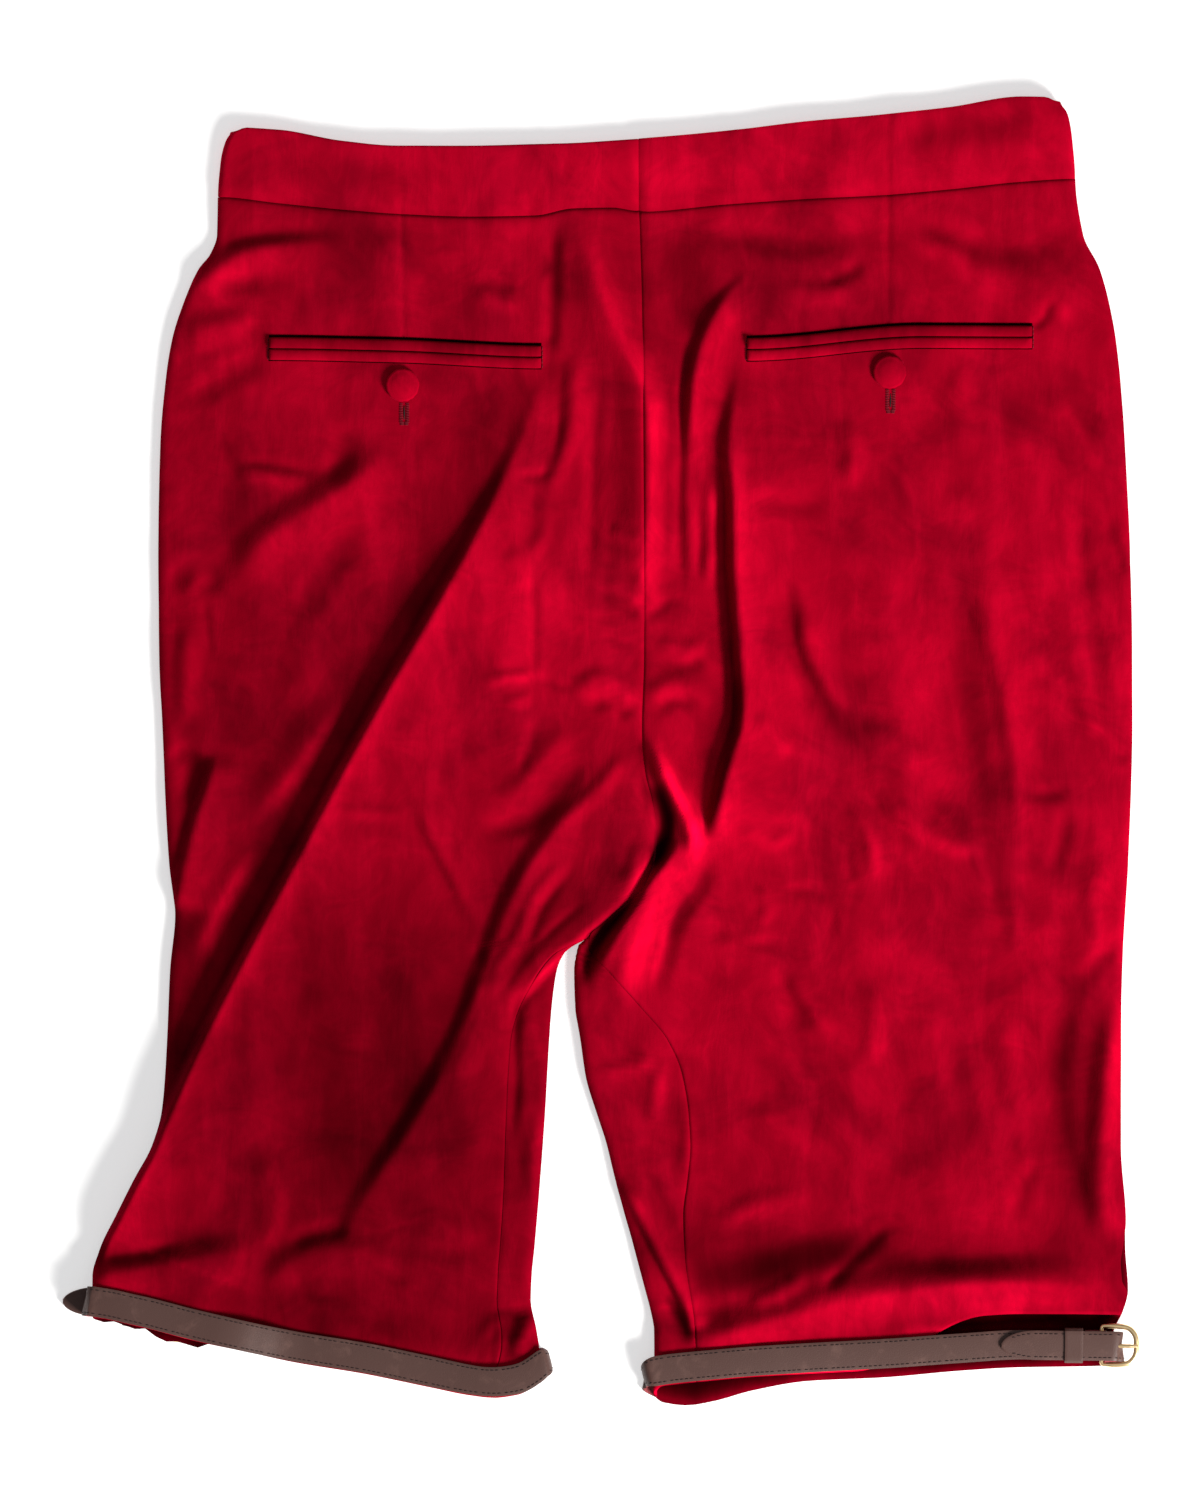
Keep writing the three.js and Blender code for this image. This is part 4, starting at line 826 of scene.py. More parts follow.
def blurred(values, radius):
    reach = int(3 * radius) + 1
    weights = np.exp(-0.5 * (np.arange(-reach, reach + 1) / radius) ** 2)
    weights /= weights.sum()
    for axis in (0, 1):
        edge = [(reach, reach) if k == axis else (0, 0) for k in (0, 1)]
        wide = np.pad(values, edge, mode="edge")
        values = np.apply_along_axis(lambda line: np.convolve(line, weights, mode="valid"), axis, wide)
    return values


# Gentle unevenness of cloth that has been lifted and laid down.
def unevenness(radius, height):
    values = blurred(random.standard_normal(mapX.shape), radius)
    return values * height / values.std()


def buckleLift(x, y):
    across, down = body["buckleRun"]
    return smooth(*across, x) * smooth(*down, y)


def lowerHeight(side, x, y):
    z = frontRest + strapStep * smooth(*body["strapNear"], y - strapY[side]["front"](x))
    return z + (body["buckleRise"]["front"] * buckleLift(x, y) if side == "left" else 0)


creaseSettings = {"height": 0.95, "width": 1.05, "wider": 0.9}
seamDip = {"depth": 0.65, "width": 1.8, "inseam": 1.2}  # an inseam dips as if it were this much further off
clothSettings = {
    "strapRise": 2.4,  # over a knee strap
    "turnRise": 1.2,  # more where the strap folds round the inside of the leg
    "lowest": 2.5,  # how far the cloth may sink towards the front panel
    "swell": (18, 0.7),  # unevenness: radius, height
    "ripple": (6, 0.22),
    "soft": 1.0,  # blur of the fine creases, then of all
    "softAll": 0.7,
}
far = 99  # stands for a place that no seam is near
darts = [[(-99, 266.5), (-98.5, 236), (-98, 205)], [(144, 276.5), (144, 240), (144, 212)]]


def softer(crease):
    height, left, right, *rest = crease
    s = creaseSettings
    return height * s["height"], left * s["width"] + s["wider"], right * s["width"] + s["wider"], *rest


# Height of the middle of the back panels' wall.
def makeCloth(s):
    isLeft = mapX < innerOf["left"](mapY) + 2
    backLine = np.where(isLeft, strapY["left"]["back"](mapX), strapY["right"]["back"](mapX))
    above = mapY - backLine
    z = backRest + s["strapRise"] * smooth(28, 9, above) + body["bandRise"] * smooth(255, 270, mapY)
    atTurn = np.where(isLeft, smooth(-70, -38, mapX), smooth(70, 34, mapX))
    z += s["turnRise"] * atTurn * smooth(30, 9, above)
    z += np.where(isLeft, body["buckleRise"]["back"] * buckleLift(mapX, mapY), 0)
    z += smooth(3, 15, above) * sum(foldHeight(fold, mapX, mapY) for fold in bigFolds)
    fine = sum(foldHeight(softer(crease), mapX, mapY, 16) for crease in smallCreases)
    fine = blurred(fine, s["soft"]) + unevenness(*s["swell"]) + unevenness(*s["ripple"])
    quiet = smooth(6, 22, above) * smooth(268, 250, mapY)
    for side in sides:
        place = pockets[side]["button"]
        quiet = quiet * smooth(5, 16, np.hypot(mapX - place[0], mapY - place[1]))
    z += fine * quiet
    # low places stay clear of the front panel
    lowest = backRest - s["lowest"]
    z = lowest + np.logaddexp(0, 2.2 * (z - lowest)) / 2.2
    onSeam = np.where(mapY > 0, np.abs(mapX - centre(mapY)), far)
    for side in sides:
        here = (mapY < -150) & (isLeft == (side == "left"))
        inseam = np.where(here, np.abs(mapX - inseamOf[side](mapY)), far)
        onSeam = np.minimum(onSeam, inseam + seamDip["inseam"])
    for dart in darts:
        line = evenPath(dart, 8)
        away = np.abs(mapX - np.interp(mapY, line[::-1, 1], line[::-1, 0]))
        fade = smooth(line[-1, 1] - 1, line[-1, 1] + 12, mapY)
        onSeam = np.minimum(onSeam, np.where(mapY > line[-1, 1], away / np.maximum(fade, 0.05), far))
    z = blurred(z, s["softAll"])
    return z - seamDip["depth"] * np.exp(-(onSeam / seamDip["width"]) ** 2)


pockets = {
    "left": {"mouth": [(-165, 200.2), (-100, 199), (-29.5, 196)], "button": (-98.5, 182)},
    "right": {"mouth": [(73.5, 199.8), (160.5, 206.2), (215.5, 206)], "button": (144.5, 188.5)},
}
clothMap = makeCloth(clothSettings)
print("shorts: cloth heights")

# Patches of painted shade (below 0) and painted light, with some tone of the pile: middle, reach across and
# along, amount.
napAndShadePatches = [
    (-110, -160, 105, 120, -1.4), (-175, -250, 100, 40, -0.5), (-175, 75, 60, 120, -0.45),
    (-217, -110, 24, 80, -0.5), (-55, 0, 60, 45, -0.3), (-60, 80, 45, 50, 0.2), (48, -48, 16, 24, 0.7),
    (20, -105, 14, 32, 0.45), (-75, -185, 30, 45, -0.25), (85, -252, 55, 14, -1.6),
    (185, -253, 55, 11, -1.1), (125, -225, 100, 36, -0.45), (150, -170, 90, 50, -0.35),
    (238, -180, 18, 80, -1.2), (-235, -252, 40, 6, -0.8), (-130, -190, 20, 50, -0.4),
    (-50, -285, 14, 11, -0.8), (-100, -292, 80, 12, -0.35), (90, 255, 45, 9, -0.5),
    (212, 250, 35, 10, -0.8), (-160, 257, 45, 9, -0.5), (42, 235, 19, 30, -0.85),
    (182, -10, 9, 110, -0.25), (-30, 225, 30, 40, 0.05), (200, -277, 60, 9, 0.35),
    (257, -150, 5, 70, 0.5), (8, -140, 18, 30, 0.1), (24, -255, 8, 30, -0.2),
    (-150, -285, 80, 26, -0.6), (-140, -150, 35, 80, -0.25), (-85, 112, 16, 35, -0.6),
    (-58, 150, 14, 28, -0.5), (-28, 60, 30, 60, 0.1), (150, -293, 120, 11, -0.6),
    (5, -108, 10, 22, -0.35), (60, 110, 9, 60, 0.5), (-100, 55, 30, 40, 0.25),
]
# The same along paths, with painted shade in hollows and beside folds and painted light on folds: amount,
# reach to the left and right of the way it runs, share of the path that each end takes to fade (left out
# where both are 0.3), path.
napAndShadeStrokes = [
    # left leg, with painted shade beside its folds
    (-0.65, 3, 48, 0.1, 0.4, [
        (-27, 194), (-40, 155), (-51, 130), (-65, 102), (-80, 75), (-100, 40), (-124, -3)]),
    (-0.5, 2, 40, [(-67, -140), (-82, -167), (-98, -195), (-122, -232), (-124, -245)]),
    (-0.9, 3, 3, [(-44, -58), (-56, -95), (-64, -120), (-78, -158)]),
    (0.3, 14, 4, [(-50, 128), (-80, 75), (-124, -3), (-175, -100), (-215, -185)]),
    (0.35, 8, 8, [(-15, -95), (-38, -112), (-58, -150), (-78, -185)]),
    # crotch: painted shade in the hollows, painted light on the fold between them
    (-5, 6, 7, 0.2, 0.2, [(26.5, -15), (32, -27), (34, -38), (30, -50), (26, -60)]),
    (-3.4, 5, 7, 0.25, 0.5, [(18, -72), (8, -84), (0.5, -92.5), (-5, -102), (-7, -113), (-9, -126)]),
    (0.9, 7, 7, 0.2, 0.25, [(22, 12), (27, 0), (33, -13), (39.5, -29), (44, -42), (43, -54)]),
    (-2.2, 3, 3, 0.2, 0.1, [(69, 45), (69, 20), (65, 0), (60, -20), (54.5, -46)]),
    (-1.0, 9, 3, 0.2, 0.4, [(53, -50), (46, -66), (37, -86), (31, -106)]),
    (0.5, 7, 7, [(14, -38), (15, -52), (12, -64)]),
    # seat
    (-0.2, 1.5, 7, 0.25, 0.1, [(72, 202), (64, 155), (66.5, 95), (70.5, 35), (70, 12)]),
    (0.4, 12, 10, 0.2, 0.3, [(-8, 242), (8, 215), (20, 190), (26, 165), (25, 130)]),
    (-1.0, 4, 5, 0.1, 0.3, [(-22, 262), (-22.5, 230), (-23, 200), (-22, 160)]),
    (-0.6, 8, 6, 0.2, 0.3, [(36, 196), (36, 165), (35, 130), (34, 95)]),
    (0.3, 10, 10, [(-4, 60), (10, 20), (20, 0)]),
    # right leg
    (-1.2, 15, 15, 0.12, 0.35, [(42, -266), (75, -260), (100, -252), (125, -246), (146, -236)]),
    (0.45, 4, 5, 0.25, 0.3, [
        (45, -296), (75, -287), (110, -275), (130, -270.5), (175, -265.5), (210, -266)]),
    (-0.9, 4, 5, [(112, -272), (124, -262), (136, -250), (147, -238)]),
    (-0.5, 10, 12, [(88, 110), (93, 70), (102, 40), (120, 15), (150, -5)]),
    (-0.35, 12, 20, [(170, 130), (178, 60), (190, -10), (205, -80)]),
    (-1.8, 3, 5, 0.2, 0.1, [(34, -270), (40, -283), (47, -293)]),
    # waistband and its seam, with painted shade along the seam
    (-1.1, 1.8, 1.6, 0.02, 0.02, [
        (-190, 275.2), (-160, 272), (-129, 268.9), (-65, 265.4), (-32, 266), (-14, 269.4), (6, 269.9),
        (20, 268), (64, 271.7), (104, 274.4), (143, 276.4), (175, 279.2), (210, 282.9), (237, 284.4)]),
    (-0.3, 12, 12, [(-185, 296), (-150, 288), (-110, 286), (-72, 283)]),
    (-0.55, 12, 12, [(140, 298), (185, 308), (230, 310)]),
    (-0.6, 2, 2, 0.1, 0.3, [(-22.5, 269), (-22.5, 275), (-22.3, 300)]),
    (-0.6, 2, 2, 0.1, 0.3, [(67.5, 272), (67.5, 278), (67.3, 304)]),
    (0.25, 20, 20, [(-60, 285), (20, 285), (130, 292)]),
    # inside of the cuffs, where it shows past the straps: less of the painted shade on the front panel's
    # inner face
    (1.7, 4, 5, [(140, -291), (180, -289), (225, -288), (250, -288)]),
    (2.9, 9, 9, 0.05, 0.1, [(20, -322), (45, -327), (75, -321), (110, -315), (160, -313), (262, -307)]),
    (2.6, 6, 6, 0.1, 0.1, [(-262, -287), (-240, -290), (-200, -297)]),
]
napAndShadeSettings = {
    "all": -0.32,
    # relief: painted light on crests and painted shade in hollows
    "relief": 0.13,  # for each millimetre that a place stands above what is round it
    # slope: painted light on slopes that face the light, painted shade on those that face away
    "slope": 0.75,  # where the cloth faces the light, which comes from below on the right
    "blur": 6,
    "soft": 1.3,
    # the front panel's inner face: the duller wrong side of the velvet, with painted shade where it shows
    # under the back panel
    "wrongSideAndShade": -3.7,  # the front panel, seen from inside
}


# The toning map of the back: patches and strokes of painted light and shade with the pile's tone, painted
# light on crests and slopes towards the light, painted shade in hollows and on slopes away.
def makeNapAndShade(s):
    toning = np.full_like(clothMap, s["all"])
    for x, y, reachX, reachY, amount in napAndShadePatches:
        toning += amount * np.exp(-((mapX - x) / reachX) ** 2 - ((mapY - y) / reachY) ** 2)
    for amount, left, right, *rest in napAndShadeStrokes:
        toning += foldHeight((amount, left, right, 0, *rest), mapX, mapY)
    relief = np.clip(clothMap - blurred(clothMap, s["blur"]), -3, 3)
    slopeY, slopeX = np.gradient(clothMap)
    facing = np.clip(0.7 * (slopeY - slopeX), -1, 1)
    return blurred(toning, s["soft"]) + s["relief"] * relief + s["slope"] * facing


napAndShadeMap = makeNapAndShade(napAndShadeSettings)


def topAt(x, y):
    return sample(clothMap, x, y) + halfCloth


def addWall(obj, thickness):
    wall = obj.modifiers.new("wall", "SOLIDIFY")
    wall.thickness = thickness * mm
    wall.offset = 0
    if len(obj.data.materials) > 1:  # the next material inside, the one after it round the rim
        wall.material_offset = 1
        wall.material_offset_rim = 2


def softEdge(obj, width):
    bevel = obj.modifiers.new("softEdge", "BEVEL")
    bevel.width = width * mm
    bevel.segments = 2


# A grid of squares whose vertices are moved by place(u, v), u across and v along, both from 0 to 1.
# Where place gives a fourth value, it is kept as the toning attribute: the pile's tone with painted light
# and shade.
def gridPiece(name, columns, rows, place, material, thickness=None, more=()):
    bm = bmesh.new()
    bmesh.ops.create_grid(bm, x_segments=columns, y_segments=rows, size=0.5)
    u = np.array([vert.co.x for vert in bm.verts]) + 0.5
    v = np.array([vert.co.y for vert in bm.verts]) + 0.5
    x, y, z, *toning = place(u, v)
    for vert, px, py, pz in zip(bm.verts, x * mm, y * mm, z * mm):
        vert.co = (px, py, pz)
    for face in bm.faces:
        face.smooth = True
    if toning:
        layer = bm.verts.layers.float.new("toning")
        for vert, value in zip(bm.verts, toning[0]):
            vert[layer] = value
    obj = newObject(name, bm, material, *more)
    if thickness:
        addWall(obj, thickness)
    return obj


def finishPiece(obj, slot, *replaced):
    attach(obj, "root")
    if replaced:
        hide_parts(*replaced)


# Back and front panels


def turnUnder(y):
    return smooth(body["crotchTop"] + body["crotchRun"], body["crotchTop"] - 6, y)


def quarter(share):
    return 1 - np.sqrt(np.maximum(0, 1 - share * share))


# Where a row turns round its inner edge, how far in from there the inseam lies, and the gap in the inseam.
def rimOf(side, y):
    inset = body["sewn"] + halfCloth * turnUnder(y)
    wide = np.abs(inseamOf[side](y) - innerOf[side](y))
    ofNarrow, ofWide, nearCrotch = body["inseamGaps"]
    apart = mix(mix(ofNarrow, ofWide, smooth(4, 12, wide)), nearCrotch, smooth(-155, -135, y))
    wrap = np.maximum(0, wide - inset)
    return innerOf[side](y) + outwards[side] * inset, wrap, np.where(y > body["crotchTop"], 0, apart)


# Where on the turn at the outer edge each panel starts, so that the two are a seam apart.
def firstAngle(side, x, y):
    height = sample(clothMap, x, y) - lowerHeight(side, x, y)
    return np.minimum(0.22, 2.9 * body["seam"] / height) + 0.05 * smooth(-228, -248, y)


# A place on a leg from its row, its side x and m, which is 0 on the lower layer and 1 on the upper one.
# Towards hem and waist the rows bend to the lines that the panels end on.
def onPanel(side, x, m, row):
    outer, inner = outerOf[side], innerOf[side]
    atHem = smooth(body["hem"] + body["hemBend"], body["hem"], row)
    atWaist = smooth(body["waist"] - body["waistBend"], body["waist"], row)
    share = (x - outer(row)) / (inner(row) - outer(row))
    y, moved = row, x
    for _ in range(3):
        hem = mix(frontHem(side, moved), backHem(side, moved), m) - body["hem"]
        waist = mix(frontSeamY(moved), seamY(moved), m) - body["waist"]
        y = row + atHem * hem + atWaist * waist
        moved = x + mix(outer(y) - outer(row), inner(y) - inner(row), share)
    # painted shade on the lower layer, seen from inside
    toning = sample(napAndShadeMap, moved, y) + napAndShadeSettings["wrongSideAndShade"] * smooth(0.5, 0.1, m)
    return moved, y, mix(lowerHeight(side, moved, y), sample(clothMap, moved, y), m), toning


panelSettings = {
    "backColumns": 148,
    "backRows": 318,
    "bend": 0.05,  # share of the columns that go round the outer edge
    "frontColumns": 84,
    "frontRows": 210,
    "cut": {"back": 0.372, "front": 0.353, "length": 0.62},
}


def placeBack(side):
    s = panelSettings

    def place(u, v):
        way = outwards[side]
        u = u if side == "left" else 1 - u
        row = mix(body["hem"], body["waist"], v)
        vent = ventOf[side](row)
        start = outerOf[side](row) - way * (halfCloth + vent)
        rim, wrap, apart = rimOf(side, row)
        width = np.abs(rim - start) - np.where(wrap > 0, wrap, 0) - apart
        angle = mix(firstAngle(side, start, row), math.pi / 2, np.clip(u / s["bend"], 0, 1))
        flat = mix(body["edgeRound"], width, np.clip((u - s["bend"]) / (1 - s["bend"]), 0, 1))
        d = np.where(u < s["bend"], body["edgeRound"] * (1 - np.cos(angle)), flat)
        m = 1 - 0.5 * (1 - smooth(0, 0.6, vent)) * (1 - np.sin(angle))
        x = start - way * d
        near = np.clip(1 - np.abs(x - rim) / body["edgeRound"], 0, 1)
        return onPanel(side, x, m - 0.5 * turnUnder(row) * quarter(near), row)

    return place


# One row of the front panel, from the outer edge along the table and round the inner edge to the inseam.
def frontRow(side, y, columns):
    way, edge = outwards[side], body["edgeRound"]
    start = outerOf[side](y) - way * halfCloth
    rim, wrap, apart = (float(value) for value in rimOf(side, y))
    rim += body["offCentre"] * float(smooth(body["crotchTop"], body["crotchTop"] + 60, y))
    strip = wrap - apart
    steps = 12
    t = np.linspace(0, 1, steps)
    angle = mix(float(firstAngle(side, start, y)), math.pi / 2, t)
    parts = [(start - way * edge * (1 - np.cos(angle)), 0.5 * (1 - np.sin(angle)))]
    parts.append((mix(start - way * edge, rim + way * edge, t[1:]), 0 * t[1:]))
    angle = math.pi / 2 * t[1:]
    parts.append((rim + way * edge * (1 - np.sin(angle)), 0.5 * turnUnder(y) * (1 - np.cos(angle))))
    if strip > body["seam"]:
        d = min(strip, edge) * t[1:] ** 2
        parts.append((rim + way * d, 1 - 0.5 * quarter(1 - d / edge)))
        if strip > edge:
            d = mix(edge, strip, t[1:])
            parts.append((rim + way * d, 1 + 0 * d))
    x = np.concatenate([part[0] for part in parts])
    m = np.concatenate([part[1] for part in parts])
    z = m * (sample(clothMap, x, np.full_like(x, y)) - lowerHeight(side, x, y))
    along = np.concatenate([[0], np.cumsum(np.hypot(np.diff(x), np.diff(z)))])
    mark = along[2 * (steps - 1)]  # where the turn round the inner edge starts
    below = np.linspace(0, 1, columns // 2, endpoint=False)
    wanted = np.concatenate([mark * below, np.linspace(mark, along[-1], columns + 1 - len(below))])
    return np.interp(wanted, along, x), np.interp(wanted, along, m)


def placeFront(side):
    s = panelSettings
    columns, rows = s["frontColumns"], s["frontRows"]

    def place(u, v):
        heights = mix(body["hem"], body["waist"], np.arange(rows + 1) / rows)
        xs, ms = zip(*(frontRow(side, y, columns) for y in heights))
        u = u if side == "left" else 1 - u
        i, j = np.rint(v * rows).astype(int), np.rint(u * columns).astype(int)
        return onPanel(side, np.array(xs)[i, j], np.array(ms)[i, j], heights[i])

    return place


def makePanels(s):
    for side in sides:
        back = gridPiece(f"velvet_back_{side}", s["backColumns"], s["backRows"],
                         placeBack(side), velvet, body["cloth"])
        finishPiece(back, "velvet", f"back_{side}")
        front = gridPiece(f"velvet_front_{side}", s["frontColumns"], s["frontRows"],
                          placeFront(side), velvet, body["cloth"])
        finishPiece(front, "velvet", f"front_{side}")


makePanels(panelSettings)
print("shorts: back and front panels")

# Waistband, one piece each side: from the centre back round the side to the centre front.

bandSettings = {
    "columns": 150,
    "rows": 18,
    "top": 0.6,  # share of the columns that lie on the back
    "turn": 0.68,  # and up to the end of the turn round the side
    "corner": 2.4,
    "seamGap": 0.12,
    "seamDent": (0.8, 2.2),  # at the centre back: depth, width
    "edgeDip": (0.7, 0.06),  # along the waist seam: depth, share of the band's height
    "toning": 0.32,
    "cut": (0.43, 0.042),
    "ridges": (-22.5, 67.5),  # turned-in allowances show through
}


def placeBand(side, s):
    def place(u, v):
        way, band = outwards[side], body["band"]
        u = u if side == "right" else 1 - u
        rest = backRest + body["bandRise"] + (band - body["cloth"]) / 2
        roundness = (rest - band / 2) / 2
        turn = through(waistSides[side])(v) - way * band / 2 - way * roundness
        seamX = centre(body["waist"]) + way * body["sewn"]
        onTop = u <= s["top"]
        onTurn = (u > s["top"]) & (u < s["turn"])
        angle = math.pi * np.clip((u - s["top"]) / (s["turn"] - s["top"]), 0, 1)
        under = seamX + body["offCentre"]
        below = mix(turn, under, (u - s["turn"]) / (1 - s["turn"]))
        x = np.where(onTop, mix(seamX, turn, u / s["top"]), below)
        x = np.where(onTurn, turn + way * roundness * np.sin(angle), x)
        m = np.where(onTop, 1, np.where(onTurn, 0.5 + 0.5 * np.cos(angle), 0))
        low = mix(frontSeamY(x), seamY(x), m) + s["seamGap"]
        y = mix(low, topY(x), v)
        y -= s["corner"] * smooth(0.5, 1, v) * smooth(7, 0, way * (turn + way * roundness - x))
        atSeam = sample(clothMap, x, seamY(x)) + (band - body["cloth"]) / 2
        wave = sample(bandWave, x, y) * smooth(0, 0.3, v)
        top = mix(atSeam, rest, smooth(0, 0.7, v)) + wave
        for (depth, width), away in ((s["seamDent"], x - centre(body["waist"])), (s["edgeDip"], v)):
            top -= depth * np.exp(-(away / width) ** 2)
        return x, y, mix(band / 2, top, m), sample(napAndShadeMap, x, y) + s["toning"]

    return place


bandWave = unevenness(9, 0.35)
for ridgeX in bandSettings["ridges"]:
    bandWave += 0.6 * np.exp(-((mapX - ridgeX) / 1.6) ** 2)


def makeBand(s):
    for side in sides:
        band = gridPiece(f"velvet_waistband_{side}", s["columns"], s["rows"],
                         placeBand(side, s), velvet, body["band"])
        softEdge(band, 0.7)
        finishPiece(band, "velvet", f"waistband_{side}")


makeBand(bandSettings)
print("shorts: waistband")

# Pocket welts and covered buttons

weltSettings = {
    "width": 4.9,
    "wall": 0.9,
    "columns": 130,
    "rows": 8,
    "crown": 0.8,
    "mouth": 0.5,  # from the middle of the mouth to a welt
    "toning": {1: -0.45, -1: 0.0},
    # span of the dark strip and its tone: painted shade in the mouth and a painted shadow above the upper
    # welt
    "facing": (-6.1, 7.0),
    "facingShadowTone": -5.5,
}
buttonSettings = {
    "radius": 8.3,
    "profile": [  # share of the radius, height
        (0.4, 0), (0.8, 0.1), (0.96, 0.5), (1, 1.1), (0.98, 1.8), (0.92, 2.3), (0.84, 2.5), (0.78, 2.6),
        (0.66, 3.1), (0.42, 3.6), (0.0, 3.8)],
    "steps": 72,
    "gathers": 13,
    "gather": 0.022,  # of the radius, fading up to gatherTop
    "gatherTop": 3.2,
}


def highestAround(x, y, reachX, reachY):
    shifts = (-1, -0.5, 0, 0.5, 1)
    return np.max([topAt(x + i * reachX, y + j * reachY) for i in shifts for j in shifts], axis=0)


def placeWelt(side, way, s):
    mouth = pockets[side]["mouth"]
    mouthY = through(mouth)

    def place(u, v):
        x = mix(mouth[0][0], mouth[-1][0], u)
        across = v if way > 0 else 1 - v
        y = mouthY(x) + way * (s["mouth"] + across * s["width"])
        ends = smooth(0, 0.012, u) * smooth(1, 0.988, u)
        crown = s["crown"] * np.sin(math.pi * v) ** 0.6 * ends
        z = highestAround(x, y, 1.5, 1) + body["seam"] + s["wall"] / 2 + crown
        return x, y, z, sample(napAndShadeMap, x, y) + s["toning"][way]

    return place


# A dark strip under the welts: the facing seen in the mouth, with painted shade there, and a painted shadow
# along the upper welt.
def placeFacingAndShadow(side, s):
    mouth = pockets[side]["mouth"]
    mouthY = through(mouth)

    def place(u, v):
        x = mix(mouth[0][0] - 0.3, mouth[-1][0] + 0.3, u)
        y = mouthY(x) + mix(s["facing"][0], s["facing"][1], v)
        return x, y, topAt(x, y) + 0.17, 0 * x + s["facingShadowTone"]

    return place


def makeButton(side, s):
    x, y = pockets[side]["button"]
    slope = [(topAt(x + 5, y) - topAt(x - 5, y)) / 10, (topAt(x, y + 5) - topAt(x, y - 5)) / 10]
    normal = Vector((-slope[0], -slope[1], 1)).normalized()
    turn = np.linspace(0, 2 * math.pi, 16, endpoint=False)
    px, py = x + 6 * np.cos(turn), y + 6 * np.sin(turn)
    lift = np.max(topAt(px, py) - slope[0] * (px - x) - slope[1] * (py - y))
    bm = bmesh.new()
    verts = [bm.verts.new((share * s["radius"] * mm, 0, height * mm)) for share, height in s["profile"]]
    edges = [bm.edges.new(pair) for pair in zip(verts, verts[1:])]
    bmesh.ops.spin(bm, geom=verts + edges, cent=(0, 0, 0), axis=(0, 0, 1), angle=2 * math.pi,
                   steps=s["steps"], use_merge=True, use_duplicate=False)
    bmesh.ops.remove_doubles(bm, verts=bm.verts, dist=0.01 * mm)
    bmesh.ops.holes_fill(bm, edges=[edge for edge in bm.edges if edge.is_boundary], sides=0)
    bmesh.ops.recalc_face_normals(bm, faces=bm.faces)
    for vert in bm.verts:
        around = math.atan2(vert.co.y, vert.co.x)
        low = max(0, 1 - vert.co.z / (s["gatherTop"] * mm))
        gather = 1 + s["gather"] * low * math.sin(s["gathers"] * around + 1.7 * math.sin(3 * around))
        vert.co.x *= gather
        vert.co.y *= gather
    for face in bm.faces:
        face.smooth = True
    spun = normal.to_track_quat("Z", "Y").to_matrix().to_4x4()
    bmesh.ops.transform(bm, matrix=spun, verts=bm.verts)
    bmesh.ops.translate(bm, verts=bm.verts, vec=(x * mm, y * mm, (lift + body["seam"] + 0.1) * mm))
    finishPiece(newObject(f"covered_button_{side}", bm, velvet), "velvet", f"pocket_button_{side}")


def makePocket(side, s):
    for name, way in (("upper", 1), ("lower", -1)):
        welt = gridPiece(f"velvet_welt_{name}_{side}", s["columns"], s["rows"],
                         placeWelt(side, way, s), velvet, s["wall"])
        finishPiece(welt, "velvet", f"welt_{name}_{side}")
    # the dark strip of painted shade and shadow round the welts
    facing = gridPiece(f"pocket_facing_and_shade_{side}", s["columns"], 10, placeFacingAndShadow(side, s), velvet, 0.2)
    finishPiece(facing, "velvet")


for side in sides:
    makePocket(side, weltSettings)
    makeButton(side, buttonSettings)
print("shorts: pocket welts and buttons")

# Knee straps

strapSettings = {
    "along": 460,
    "across": 8,
    "crown": 0.25,
    "tipLength": 66,
    "tipTaper": 17,
    "tuck": 0.6,  # share of the width lost where it goes round the inside of the leg
    "tuckReach": 6.5,
    "tuckLift": 1.0,
    "foldDepth": 3.4,  # from the edge of a leg in to where the strap's fold starts
    "stitchIn": 1.5,
    "stitchPitch": 2.7,
    "stitchLength": 2.1,
    "stitchRadius": 0.28,
}
buckleSettings = {
    "wire": 1.05,  # radius of the bar
    "bow": 1.4,
    "prong": 1.05,
    "frameHalf": 9.6,
    "corner": 7.6,
    "ringAngles": (-120, -165, -210, -250),
    "frameSteps": 150,
    "prongSteps": 48,
}
loopRound = buckleSettings["wire"] + body["seam"] + body["leather"] / 2  # strap folded round the bar


